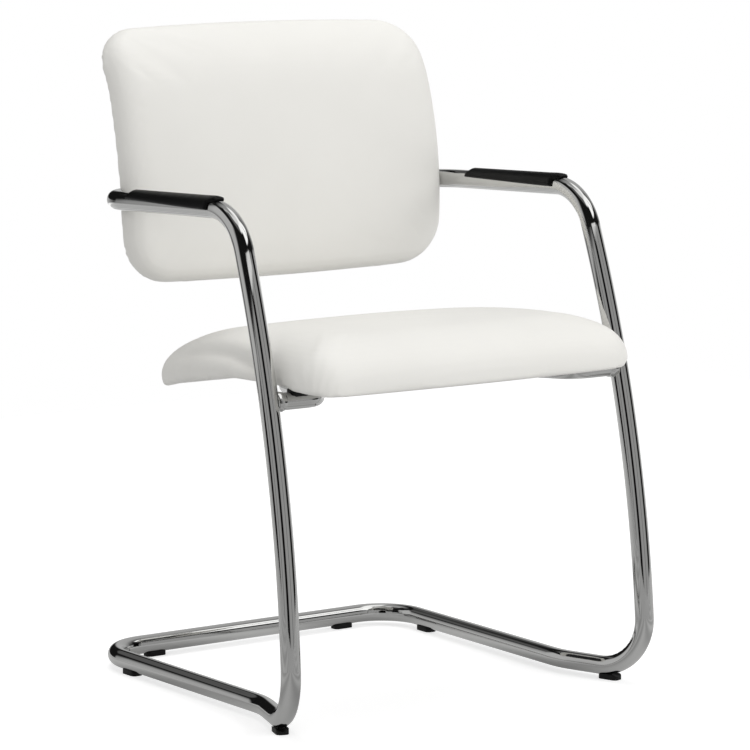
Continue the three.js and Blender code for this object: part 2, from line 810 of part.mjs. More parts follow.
// Back fixings: two welded brackets on the cross run, each with a screw above and below the tube.
const crossPoint = at(0, crossDepth, crossHeight);
const backHeading = footHeading(backProfile, crossPoint.y, crossPoint.z);
const upAlong = new THREE.Vector3(0, Math.cos(backHeading), Math.sin(backHeading));
const backFixings = [];
const bracketPlaces = [
  { side: "right", x: bracketHalfSpacing },
  { side: "left", x: -bracketHalfSpacing },
];
for (const { side, x } of bracketPlaces) {
  for (const [level, offset] of [["upper", bracketHoleOffset], ["lower", -bracketHoleOffset]]) {
    const point = crossPoint.clone().addScaledVector(upAlong, offset);
    point.x = x;
    const { reach } = meetProfile(backProfile, point.y, point.z, backHeading);
    backFixings.push({ name: `${level}_${side}`, point, frame: tilted(point, backHeading), reach });
  }
}
const bracketLow = tubeRadius + touchGap;
const bracketHigh = bracketLow + bracketThickness;

function bracketSolid() {
  const plate = roundedBlock(bracketLength, bracketWidth, bracketWidth / 4, bracketThickness);
  plate.rotateZ(Math.PI / 2);
  plate.translate(0, 0, bracketLow);
  const holes = [bracketHoleOffset, -bracketHoleOffset].map((offset) =>
    solid(
      cylinder(screwHoleRadius, 0, bracketHigh * 2, screwSides),
      new THREE.Matrix4().makeTranslation(0, offset, 0),
    ),
  );
  return subtractAll(solid(plate), holes);
}

function backSpacerSolid(reach) {
  const low = bracketHigh + touchGap;
  const high = reach - softGap * 2 - liningThickness;
  const sleeve = cylinder(backSpacerRadius, low, high, screwSides * 2);
  return solid(sleeve).subtract(solid(cylinder(screwHoleRadius, 0, reach, screwSides)));
}

// Assembly

const chair = new THREE.Group();

function addMesh(parent, name, made, material) {
  const geometry = made.isBufferGeometry ? made : geometryOf(made);
  const mesh = new THREE.Mesh(geometry, material);
  mesh.name = name;
  parent.add(mesh);
  return mesh;
}

const padFrames = [["right", 1], ["left", -1]].map(([side, sign]) => ({ side, frame: padFrame(sign) }));

const frameSolid = subtractAll(tube(frameStations, tubeRadius, tubeWall, tubeSides), [
  ...glidePlaces.map(glideHole),
  ...padFrames.flatMap(({ frame }) => padHoles(frame)),
]);
addMesh(chair, "frame_tube", frameSolid, materials.chrome);

const sleeveEnds = [-1, 1].map((side) => ({
  point: at((side * jointSleeveLength) / 2, crossDepth, crossHeight),
  tangent: new THREE.Vector3(1, 0, 0),
}));
const sleeveSolid = tube(sleeveEnds, tubeBore - touchGap, jointSleeveWall, tubeSides);
addMesh(chair, "frame_joint_sleeve", sleeveSolid, materials.zinc);

const legCutter = rod(frameStations, tubeRadius + touchGap, tubeSides);
const carrierHoles = seatFixings.flatMap(({ frame }) => [
  solid(cylinder(screwHoleRadius, 0, carrierDiameter, screwSides), frame.matrixWorld),
  solid(cylinder(seatScrewAccess, -carrierDiameter, 0, screwSides), frame.matrixWorld),
]);
const carrierOuter = rod(carrierStations, carrierRadius, tubeSides).add(weldCollar(1)).add(weldCollar(-1));
const carrierSolid = subtractAll(carrierOuter, [
  rod(runOn(carrierStations, overrun), carrierRadius - carrierWall, tubeSides),
  legCutter,
  ...carrierHoles,
]);
const carrierBody = carrierSolid.decompose().sort((a, b) => b.volume() - a.volume())[0];
addMesh(chair, "seat_carrier", carrierBody, materials.chrome);

const glideGeometry = geometryOf(glideSolid());
for (const place of glidePlaces) {
  const mesh = addMesh(chair, place.name, glideGeometry, materials.blackPlastic);
  mesh.position.set(place.x, place.y, 0);
  mesh.rotation.z = place.angle;
}

const padGeometry = geometryOf(padSolid());
for (const { side, frame } of padFrames) {
  addMesh(frame, `arm_pad_${side}`, padGeometry, materials.blackPlastic);
  chair.add(frame);
}

const seat = upholster(seatPad, seatShellThickness, seatFixings, () => []);
addMesh(chair, "seat_cover", seat.cover, materials.leatherette);
addMesh(chair, "seat_foam", seat.foam, materials.foam);
addMesh(chair, "seat_shell", seat.shell, materials.plywood);
addMesh(chair, "seat_lining", seat.lining, materials.lining);
for (const { name, frame, reach } of seatFixings) {
  addMesh(frame, `seat_tee_nut_${name}`, teeNutSolid(reach, seat.shellHigh), materials.zinc);
  addMesh(frame, `seat_spacer_${name}`, seatSpacerSolid(reach), materials.blackPlastic);
  addMesh(frame, `seat_screw_${name}`, screwSolid(seatScrewSeat, reach + screwReach), materials.zinc);
  chair.add(frame);
}

// The frame's rear bends pass through the back pad's rear edges.
const rearBend = frameStations.slice(1, rearBendCount);
const backGroove = (offset) =>
  [1, -1].map((side) => {
    const stations = rearBend.map(({ point, tangent }) => ({
      point: side > 0 ? point : mirrored(point),
      tangent: side > 0 ? tangent : mirrored(tangent),
    }));
    return rod(stations, tubeRadius + offset, tubeSides);
  });
const back = upholster(backPad, backShellThickness, backFixings, backGroove);
addMesh(chair, "back_cover", back.cover, materials.leatherette);
addMesh(chair, "back_foam", back.foam, materials.foam);
addMesh(chair, "back_shell", back.shell, materials.plywood);
addMesh(chair, "back_rear_panel", back.lining, materials.leatherette);
for (const { name, frame, reach } of backFixings) {
  const screwSeat = bracketLow - touchGap;
  addMesh(frame, `back_tee_nut_${name}`, teeNutSolid(reach, back.shellHigh), materials.zinc);
  addMesh(frame, `back_spacer_${name}`, backSpacerSolid(reach), materials.blackPlastic);
  addMesh(frame, `back_screw_${name}`, screwSolid(screwSeat, reach + screwReach), materials.zinc);
  chair.add(frame);
}
const bracketGeometry = geometryOf(bracketSolid());
for (const { side, x } of bracketPlaces) {
  const frame = tilted(crossPoint, backHeading);
  frame.position.x = x;
  addMesh(frame, `back_bracket_${side}`, bracketGeometry, materials.chrome);
  chair.add(frame);
}

// The origin is on the floor, below the middle of the chair's outer box.
chair.updateMatrixWorld(true);
const box = new THREE.Box3().setFromObject(chair, true);
chair.position.set(-(box.min.x + box.max.x) / 2, -(box.min.y + box.max.y) / 2, -box.min.z);
const part = new THREE.Group();
part.add(chair);

export default part;
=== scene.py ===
"""Dresses the sled base visitor chair: chrome frame, leatherette seat and back, black pads and glides."""

import math
from collections import namedtuple

import bmesh
import bpy
import numpy as np
from mathutils import Matrix, Vector


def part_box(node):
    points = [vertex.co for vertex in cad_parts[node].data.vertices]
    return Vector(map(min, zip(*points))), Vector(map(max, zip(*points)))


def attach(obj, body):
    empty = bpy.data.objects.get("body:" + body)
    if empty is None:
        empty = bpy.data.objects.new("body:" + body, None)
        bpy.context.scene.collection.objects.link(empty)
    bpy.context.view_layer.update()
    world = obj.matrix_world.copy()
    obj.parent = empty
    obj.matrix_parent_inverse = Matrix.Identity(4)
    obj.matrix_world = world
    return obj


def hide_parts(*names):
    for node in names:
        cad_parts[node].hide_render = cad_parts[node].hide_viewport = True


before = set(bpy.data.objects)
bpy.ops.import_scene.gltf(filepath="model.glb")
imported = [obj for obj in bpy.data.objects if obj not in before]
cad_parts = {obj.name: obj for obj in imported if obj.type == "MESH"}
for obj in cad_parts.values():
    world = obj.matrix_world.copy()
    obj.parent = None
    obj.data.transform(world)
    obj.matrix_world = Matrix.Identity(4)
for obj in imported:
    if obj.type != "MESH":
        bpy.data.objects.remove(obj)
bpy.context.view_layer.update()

# Sizes in metres. Depths are measured forwards (towards -Y) from the axis of the rear floor rail.
MM = 0.001
TUBE_R = 12.5 * MM
TUBE_WALL = 2 * MM
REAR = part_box("frame_tube")[1].y - TUBE_R
RAIL_Z = 17 * MM
CROSS_DEPTH = 52 * MM
CROSS_Z = 636 * MM
ARM_X = 272 * MM
ARM_FRONT_DEPTH = 391 * MM
ARM_FRONT_Z = 648.5 * MM
ARM_R = 74 * MM
KNEE = Vector((277 * MM, 503.5 * MM, 350 * MM))
FOOT_X = 281 * MM
FOOT_DEPTH = 525.5 * MM
KINK = (238 * MM, 396 * MM)
BASE_X = 243 * MM
BASE_R = 62 * MM
CARRIER_R = 11 * MM
CARRIER_Z = 417 * MM
CARRIER_REAR = (146 * MM, 300 * MM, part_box("seat_carrier")[0].z + CARRIER_R)
PAD_REAR_DEPTH = 145 * MM
PAD_LENGTH = 206 * MM
PAD_T = 3.6 * MM
PAD_FRONT_TRIM = 9 * MM
PAD_ROUNDING = 3.2 * MM
# The camera's place and aim are given as x, depth and height. It looks at the chair from VIEW_TURN degrees.
VIEW_TURN = 125
LENS = 182
EYE = (-2.8241, 4.3201, 1.1227)
TARGET = (0.0510, 0.2300, 0.3963)
REAR_BEND_R = 72 * MM
LEG_BOW_R = 1760 * MM
FLOOR_BEND_R = 68 * MM
KINK_BEND_R = 110 * MM
CARRIER_SHOULDER = 76 * MM
CARRIER_FRONT_BEND_R = 30 * MM
CARRIER_REAR_BEND_R = 50 * MM
TUBE_END_X = 0.3 * MM
BEND_DEGREES = 3
BEND_STEP = 16 * MM
CARRIER_BEND_STEP = 8 * MM
STRAIGHT_STEP = 30 * MM
RIPPLE_PITCH = 11 * MM
BORE_SHOWN = 20 * MM
LATHE_SIDES = 40

SCENE = bpy.context.scene
SCENE.view_settings.view_transform = "Standard"


def place(x, depth, z):
    return Vector((x, REAR - depth, z))


# Camera


def add_camera():
    data = bpy.data.cameras.new("camera")
    data.sensor_width = 36
    data.lens = LENS
    data.clip_start, data.clip_end = 0.1, 60
    obj = bpy.data.objects.new("camera", data)
    SCENE.collection.objects.link(obj)
    eye = place(*EYE)
    target = place(*TARGET)
    obj.location = eye
    obj.rotation_mode = "QUATERNION"
    obj.rotation_quaternion = (target - eye).to_track_quat("-Z", "Y")
    SCENE.camera = obj


# Materials


def new_material(name):
    material = bpy.data.materials.new(name)
    material.use_nodes = True
    nodes = material.node_tree.nodes
    shader = nodes["Principled BSDF"]
    return material, nodes, material.node_tree.links, shader


def noise(nodes, links, scale, detail, stretch=(1, 1, 1)):
    coordinate = nodes.new("ShaderNodeTexCoord")
    mapping = nodes.new("ShaderNodeMapping")
    mapping.inputs["Scale"].default_value = stretch
    links.new(coordinate.outputs["Object"], mapping.inputs["Vector"])
    texture = nodes.new("ShaderNodeTexNoise")
    texture.inputs["Scale"].default_value = scale
    texture.inputs["Detail"].default_value = detail
    links.new(mapping.outputs["Vector"], texture.inputs["Vector"])
    return texture


def ramp(nodes, links, value, stops):
    node = nodes.new("ShaderNodeValToRGB")
    elements = node.color_ramp.elements
    while len(elements) < len(stops):
        elements.new(0.5)
    for element, (position, colour) in zip(elements, stops):
        element.position = position
        element.color = (*colour, 1) if isinstance(colour, tuple) else (colour, colour, colour, 1)
    links.new(value, node.inputs["Fac"])
    return node


def bump(nodes, links, shader, height, strength, distance, normal=None):
    node = nodes.new("ShaderNodeBump")
    node.inputs["Strength"].default_value = strength
    node.inputs["Distance"].default_value = distance
    links.new(height, node.inputs["Height"])
    if normal is not None:
        links.new(normal, node.inputs["Normal"])
    links.new(node.outputs["Normal"], shader.inputs["Normal"])
    return node.outputs["Normal"]


def leatherette(name, pale, deep):
    """Coated fabric: pebbled grain, soft colour drift and a satin shine that varies a little."""
    material, nodes, links, shader = new_material(name)
    drift = noise(nodes, links, 7, 3)
    tint = ramp(nodes, links, drift.outputs["Fac"], [(0.3, deep), (0.7, pale)])
    links.new(tint.outputs["Color"], shader.inputs["Base Color"])
    shine = noise(nodes, links, 60, 5)
    gloss = ramp(nodes, links, shine.outputs["Fac"], [(0.3, 0.42), (0.7, 0.52)])
    links.new(gloss.outputs["Color"], shader.inputs["Roughness"])
    shader.inputs["Specular IOR Level"].default_value = 0.4
    coordinate = nodes.new("ShaderNodeTexCoord")
    cells = nodes.new("ShaderNodeTexVoronoi")
    cells.feature = "SMOOTH_F1"
    cells.inputs["Scale"].default_value = 900
    cells.inputs["Smoothness"].default_value = 0.6
    links.new(coordinate.outputs["Object"], cells.inputs["Vector"])
    grain = bump(nodes, links, shader, cells.outputs["Distance"], 0.12, 0.0004)
    pull = noise(nodes, links, 34, 4)
    bump(nodes, links, shader, pull.outputs["Fac"], 0.10, 0.0012, grain)
    return material


def chrome():
    """Bright plating over drawn tube: a mirror with a faint lengthwise waver and light handling marks."""
    material, nodes, links, shader = new_material("chrome_plate")
    shader.inputs["Base Color"].default_value = (0.63, 0.63, 0.62, 1)
    shader.inputs["Metallic"].default_value = 1
    marks = noise(nodes, links, 45, 6)
    gloss = ramp(nodes, links, marks.outputs["Fac"], [(0.35, 0.03), (0.75, 0.07)])
    links.new(gloss.outputs["Color"], shader.inputs["Roughness"])
    waver = noise(nodes, links, 16, 2)
    bump(nodes, links, shader, waver.outputs["Fac"], 0.05, 0.0010)
    return material


def metal(name, colour, rough):
    material, nodes, links, shader = new_material(name)
    shader.inputs["Metallic"].default_value = 1
    grain = noise(nodes, links, 220, 5)
    tint = ramp(nodes, links, grain.outputs["Fac"], [(0.3, tuple(c * 0.85 for c in colour)), (0.7, colour)])
    links.new(tint.outputs["Color"], shader.inputs["Base Color"])
    gloss = ramp(nodes, links, grain.outputs["Fac"], [(0.3, rough), (0.7, rough + 0.12)])
    links.new(gloss.outputs["Color"], shader.inputs["Roughness"])
    bump(nodes, links, shader, grain.outputs["Fac"], 0.15, 0.0003)
    return material


def plastic(name, colour, rough, grain_scale, strength, shine=0.4):
    material, nodes, links, shader = new_material(name)
    shader.inputs["Specular IOR Level"].default_value = shine
    wear = noise(nodes, links, 50, 4)
    tint = ramp(nodes, links, wear.outputs["Fac"], [(0.35, colour), (0.8, tuple(c * 1.5 for c in colour))])
    links.new(tint.outputs["Color"], shader.inputs["Base Color"])
    gloss = ramp(nodes, links, wear.outputs["Fac"], [(0.3, rough), (0.7, rough + 0.1)])
    links.new(gloss.outputs["Color"], shader.inputs["Roughness"])
    grain = noise(nodes, links, grain_scale, 3)
    bump(nodes, links, shader, grain.outputs["Fac"], strength, 0.0003)
    return material


def cloth(name, colour):
    """Bonded fabric: crossed fibres in two scales."""
    material, nodes, links, shader = new_material(name)
    shader.inputs["Roughness"].default_value = 0.9
    along = noise(nodes, links, 420, 3, stretch=(1, 0.15, 1))
    across = noise(nodes, links, 420, 3, stretch=(0.15, 1, 1))
    mix = nodes.new("ShaderNodeMath")
    mix.operation = "MULTIPLY"
    links.new(along.outputs["Fac"], mix.inputs[0])
    links.new(across.outputs["Fac"], mix.inputs[1])
    tint = ramp(nodes, links, mix.outputs[0], [(0.15, tuple(c * 0.6 for c in colour)), (0.4, colour)])
    links.new(tint.outputs["Color"], shader.inputs["Base Color"])
    bump(nodes, links, shader, mix.outputs[0], 0.4, 0.0004)
    return material


def wood(name, pale, dark):
    material, nodes, links, shader = new_material(name)
    shader.inputs["Roughness"].default_value = 0.65
    figure = noise(nodes, links, 9, 6, stretch=(1, 8, 8))
    tint = ramp(nodes, links, figure.outputs["Fac"], [(0.3, dark), (0.7, pale)])
    links.new(tint.outputs["Color"], shader.inputs["Base Color"])
    bump(nodes, links, shader, figure.outputs["Fac"], 0.2, 0.0004)
    return material


MATERIALS = {
    "chrome": chrome(),
    "zinc": metal("zinc_plate", (0.55, 0.56, 0.58), 0.3),
    "leatherette": leatherette("white_leatherette", (0.81, 0.80, 0.765), (0.79, 0.78, 0.745)),
    "pad": plastic("black_pad_plastic", (0.003, 0.003, 0.003), 0.40, 1500, 0.15, 0.14),
    "black": plastic("black_plastic", (0.004, 0.004, 0.004), 0.42, 1100, 0.2, 0.25),
    "lining": cloth("black_lining_cloth", (0.035, 0.035, 0.037)),
    "foam": cloth("cut_foam", (0.75, 0.66, 0.42)),
    "plywood": wood("birch_plywood", (0.62, 0.42, 0.23), (0.45, 0.28, 0.14)),
}


# Mesh building


def finish_piece(obj, material, replaced=(), smooth_angle=40):
    for polygon in obj.data.polygons:
        polygon.use_smooth = True
    obj.data.set_sharp_from_angle(angle=math.radians(smooth_angle))
    obj.data.materials.clear()
    obj.data.materials.append(MATERIALS[material])
    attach(obj, "root")
    if replaced:
        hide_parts(*replaced)


def mesh_object(name, vertices, faces):
    mesh = bpy.data.meshes.new(name)
    mesh.from_pydata([tuple(v) for v in vertices], [], faces)
    mesh.validate()
    mesh.update()
    obj = bpy.data.objects.new(name, mesh)
    SCENE.collection.objects.link(obj)
    bm = bmesh.new()
    bm.from_mesh(mesh)
    bmesh.ops.recalc_face_normals(bm, faces=bm.faces)
    bm.to_mesh(mesh)
    bm.free()
    return obj


def rings_object(name, rings):
    """Joins rings of equal length into a tube with a cap at each end."""
    count = len(rings[0])
    vertices = [p for ring in rings for p in ring]
    faces = []
    for r in range(len(rings) - 1):
        a, b = r * count, (r + 1) * count
        for i in range(count):
            j = (i + 1) % count
            faces.append((a + i, a + j, b + j, b + i))
    faces.append(tuple(range(count)))
    faces.append(tuple(reversed(range(len(vertices) - count, len(vertices)))))
    return mesh_object(name, vertices, faces)


def lathe(name, profile, matrix):
    """Turns (height, radius) pairs about local Z. A radius of 0 at an end closes it in a point."""
    rings = []
    for height, radius in profile:
        r = max(radius, 1e-5)
        turns = [2 * math.pi * i / LATHE_SIDES for i in range(LATHE_SIDES)]
        rings.append([matrix @ Vector((r * math.cos(a), r * math.sin(a), height)) for a in turns])
    return rings_object(name, rings)


def add_bevel(obj, width, segments):
    modifier = obj.modifiers.new("bevel", "BEVEL")
    modifier.width = width
    modifier.segments = segments
    modifier.limit_method = "ANGLE"
    modifier.angle_limit = math.radians(30)
    apply_modifiers(obj)


def apply_modifiers(obj):
    depsgraph = bpy.context.evaluated_depsgraph_get()
    mesh = bpy.data.meshes.new_from_object(obj.evaluated_get(depsgraph))
    obj.modifiers.clear()
    obj.data = mesh


# Bent tube


def bent_path(corners, degrees, longest):
    """Stations on a polyline with rounded corners: (point, tangent, inward, bend share, bend radius)."""
    stations = []
    last = len(corners) - 1

    def heading(i, j):
        return (corners[j][0] - corners[i][0]).normalized()

    stations.append((corners[0][0], heading(0, 1), Vector(), 0, 0))
    for i in range(1, last):
        before, after = heading(i - 1, i), heading(i, i + 1)
        radius = corners[i][1]
        angle = before.angle(after)
        inward = (after - before * math.cos(angle)).normalized()
        start = corners[i][0] - before * radius * math.tan(angle / 2)
        steps = max(math.ceil(math.degrees(angle) / degrees), math.ceil(radius * angle / longest))
        for k in range(steps + 1):
            turn = angle * k / steps
            point = start + before * radius * math.sin(turn) + inward * radius * (1 - math.cos(turn))
            tangent = before * math.cos(turn) + inward * math.sin(turn)
            to_centre = inward * math.cos(turn) - before * math.sin(turn)
            stations.append((point, tangent, to_centre, math.sin(math.pi * k / steps), radius))
    stations.append((corners[last][0], heading(last - 1, last), Vector(), 0, 0))
    return stations


def fill_straights(stations, longest):
    """Adds stations along each straight run, so that no face of the tube is very long."""
    filled = [stations[0]]
    for here in stations[1:]:
        before = filled[-1]
        gap = (here[0] - before[0]).length
        count = max(1, math.ceil(gap / longest))
        straight = before[1].angle(here[1]) < 1e-4
        if straight:
            for k in range(1, count):
                filled.append((before[0].lerp(here[0], k / count), before[1], Vector(), 0, 0))
        filled.append(here)
    return filled


def sweep(name, stations, radius, sides, flatten=0.0, ripple=0.0, wall=0.0):
    """A tube round the stations, with its bends a little flattened outside and rippled inside."""
    normal = stations[0][1].orthogonal().normalized()
    rings = []
    travelled = 0
    previous = stations[0]
    for station in stations:
        point, tangent, inward, share, bend_radius = station
        travelled += (point - previous[0]).length
        axis = previous[1].cross(tangent)
        if axis.length > 1e-9:
            normal = Matrix.Rotation(previous[1].angle(tangent), 3, axis.normalized()) @ normal
        normal = (normal - tangent * normal.dot(tangent)).normalized()
        side = tangent.cross(normal)
        tight = share if 0 < bend_radius < 0.1 else 0
        ring = []
        for i in range(sides):
            a = 2 * math.pi * i / sides
            out = normal * math.cos(a) + side * math.sin(a)
            facing = out.dot(inward)
            r = radius
            if tight:
                r -= flatten * tight * max(0, -facing) ** 2
                wave = math.sin(2 * math.pi * travelled / RIPPLE_PITCH)
                r += ripple * tight * max(0, facing) ** 6 * wave
            ring.append(point + out * r)
        rings.append(ring)
        previous = station
    if wall:
        # The open ends show the wall's thickness and the start of the bore.
        for end, sign in ((0, 1), (-1, -1)):
            point, tangent = stations[end][0], stations[end][1]
            inner = [point + (p - point) * ((radius - wall) / radius) for p in rings[end]]
            deep = [p + tangent * sign * BORE_SHOWN for p in inner]
            if end == 0:
                rings = [deep, inner, *rings]
            else:
                rings = [*rings, inner, deep]
    return rings_object(name, rings)


def frame_corners():
    right = [
        (place(TUBE_END_X, CROSS_DEPTH, CROSS_Z), 0),
        (place(ARM_X, CROSS_DEPTH, CROSS_Z), REAR_BEND_R),
        (place(ARM_X, ARM_FRONT_DEPTH, ARM_FRONT_Z), ARM_R),
        (place(*KNEE), LEG_BOW_R),
        (place(FOOT_X, FOOT_DEPTH, RAIL_Z), FLOOR_BEND_R),
        (place(*KINK, RAIL_Z), KINK_BEND_R),
        (place(BASE_X, 0, RAIL_Z), BASE_R),
    ]
    left = [(Vector((-p.x, p.y, p.z)), r) for p, r in reversed(right)]
    return [*right, *left]


def build_frame():
    stations = fill_straights(bent_path(frame_corners(), BEND_DEGREES, BEND_STEP), STRAIGHT_STEP)
    tube = sweep("chrome_frame", stations, TUBE_R, 48, flatten=0.35 * MM, ripple=0.22 * MM, wall=TUBE_WALL)
    finish_piece(tube, "chrome", ["frame_tube"])


def leg_point(height):
    """The axis of the right leg at a height."""
    stations = [s[0] for s in bent_path(frame_corners(), BEND_DEGREES, BEND_STEP) if s[0].x > 0]
    for above, below in zip(stations, stations[1:]):
        if above.z > height >= below.z:
            return above.lerp(below, (above.z - height) / (above.z - below.z))
    return None


def build_carrier():
    root = leg_point(CARRIER_Z)
    right = [
        (root - Vector((TUBE_R * 0.6, 0, 0)), 0),
        (root - Vector((CARRIER_SHOULDER, 0, 0)), CARRIER_FRONT_BEND_R),
        (place(*CARRIER_REAR), CARRIER_REAR_BEND_R),
    ]
    left = [(Vector((-p.x, p.y, p.z)), r) for p, r in reversed(right)]
    stations = fill_straights(bent_path([*right, *left], BEND_DEGREES, CARRIER_BEND_STEP), STRAIGHT_STEP)
    tube = sweep("seat_carrier_tube", stations, CARRIER_R, 44, flatten=0.4 * MM, ripple=0.2 * MM)
    finish_piece(tube, "chrome", ["seat_carrier"])
    for side, name in ((1, "right"), (-1, "left")):
        origin = Vector((side * root.x, root.y, root.z))
        turn = Matrix.Rotation(-side * math.pi / 2, 4, "Y")
        matrix = Matrix.Translation(origin) @ turn
        start = TUBE_R * 0.78
        collar = lathe(
            f"carrier_collar_{name}",
            [
                (start, 11.9 * MM),
                (TUBE_R + 1.0 * MM, 12.7 * MM),
                (TUBE_R + 2.6 * MM, 12.9 * MM),
                (TUBE_R + 4.4 * MM, 12.6 * MM),
                (TUBE_R + 5.6 * MM, 12.0 * MM),
                (TUBE_R + 6.4 * MM, 11.9 * MM),
                (TUBE_R + 7.6 * MM, 11.6 * MM),
                (TUBE_R + 8.8 * MM, 10.6 * MM),
            ],
            matrix,
        )
        finish_piece(collar, "chrome")


# Upholstery on a bent profile


class Profile:
    """A chain of arcs in the YZ plane, with points given by length along it and height off it."""

    def __init__(self, depth, z, heading, arcs):
        self.arcs = [(length * MM, math.radians(turn)) for length, turn in arcs]
        self.start = (REAR - depth * MM, z * MM, math.radians(heading))
        self.length = sum(length for length, _ in self.arcs)
        self.samples = np.linspace(-0.03, self.length + 0.03, 900)
        self.line = np.array([self._at(s) for s in self.samples])

    def _at(self, s):
        y, z, heading = self.start
        rest = s
        for i, (length, turn) in enumerate(self.arcs):
            step = rest if i == len(self.arcs) - 1 else min(rest, length)
            curvature = turn / length
            end = heading + curvature * step
            y += (math.sin(end) - math.sin(heading)) / curvature
            z -= (math.cos(end) - math.cos(heading)) / curvature
            heading = end
            rest -= step
            if rest <= 0:
                break
        return y, z, heading

    def bend(self, x, s, n):
        """Flat points (arrays) carried onto the profile."""
        y = np.interp(s, self.samples, self.line[:, 0])
        z = np.interp(s, self.samples, self.line[:, 1])
        heading = np.interp(s, self.samples, self.line[:, 2])
        return np.stack([x, y - np.sin(heading) * n, z + np.cos(heading) * n], axis=-1)

    def flatten(self, points):
        """The flat (x, s, n) of points in space."""
        across = points[:, None, 1:] - self.line[None, :, :2]
        along = across[:, :, 0] * np.cos(self.line[:, 2]) + across[:, :, 1] * np.sin(self.line[:, 2])
        index = np.clip((along > 0).sum(axis=1), 1, len(self.samples) - 1)
        rows = np.arange(len(points))
        before, after = along[rows, index - 1], along[rows, index]
        share = np.clip(before / np.where(before - after == 0, 1, before - after), 0, 1)
        s = self.samples[index - 1] + share * (self.samples[index] - self.samples[index - 1])
        y = np.interp(s, self.samples, self.line[:, 0])
        z = np.interp(s, self.samples, self.line[:, 1])
        heading = np.interp(s, self.samples, self.line[:, 2])
        n = -(points[:, 1] - y) * np.sin(heading) + (points[:, 2] - z) * np.cos(heading)
        return np.stack([points[:, 0], s, n], axis=-1)


SEAT = {
    "profile": Profile(536.2, 424.5, 11, [(95, -11.6), (173, -6.6), (164, -9.7)]),
    "length": 417.5 * MM,
    "start_half": 258 * MM,
    "end_half": 228 * MM,
    "start_r": 45 * MM,
    "end_r": 27 * MM,
    "bows": (4 * MM, 7 * MM, 6 * MM),
    "thick": 61 * MM,
    "roll": 87 * MM,
    "low": (7 * MM, 7 * MM),
    "crown": 3 * MM,
}
BACK = {
    "profile": Profile(80, 526, 95.6, [(243, -22.7), (94, -44)]),
    "length": 337 * MM,
    "start_half": 251.5 * MM,
    "end_half": 251.5 * MM,
    "start_r": 60 * MM,
    "end_r": 57 * MM,
    "bows": (5.5 * MM, 6 * MM, 10 * MM),
    "thick": 34 * MM,
    "roll": 30 * MM,
    "low": (5 * MM, 6 * MM),
    "crown": 5 * MM,
}


PAD_STEPS = (8, 24, 20)
EDGE_STEPS = (4, 12)


def pad_rows(pad, inset, corner_steps, side_steps):
    start, end = pad["start_half"] - inset, pad["end_half"] - inset
    start_r = max(pad["start_r"] - inset, pad["start_r"] / 3)
    end_r = max(pad["end_r"] - inset, pad["end_r"] / 3)
    rows = []
    for i in range(corner_steps + 1):
        a = math.pi / 2 * i / corner_steps
        rows.append((start - start_r * (1 - math.sin(a)), inset + start_r * (1 - math.cos(a))))
    low, high = inset + start_r, pad["length"] - inset - end_r
    for i in range(1, side_steps):
        share = i / side_steps
        rows.append((start + (end - start) * share, low + (high - low) * share))
    for i in range(corner_steps + 1):
        a = math.pi / 2 * i / corner_steps
        rows.append((end - end_r * (1 - math.cos(a)), high + end_r * math.sin(a)))
    return rows


def bowed(pad, x, s):
    side, start, end = pad["bows"]
    u = x / max(pad["start_half"], pad["end_half"])
    v = 2 * s / pad["length"] - 1
    bow = np.where(v > 0, end, start)
    return x + side * u * (1 - v * v), s + bow * v * (1 - u * u)


def pad_edge(pad, offset, low_steps, roll_steps):
    low_inset, low_rise = pad["low"]
    edge = []
    for i in range(low_steps + 1):
        a = math.pi / 2 * i / low_steps
        inset = offset + (low_inset - offset) * (1 - math.sin(a))
        edge.append((inset, offset + (low_rise - offset) * (1 - math.cos(a))))
    for i in range(1, roll_steps + 1):
        a = math.pi / 2 * i / roll_steps
        rise = pad["thick"] - low_rise - offset
        edge.append((offset + (pad["roll"] - offset) * (1 - math.cos(a)), low_rise + rise * math.sin(a)))
    return edge


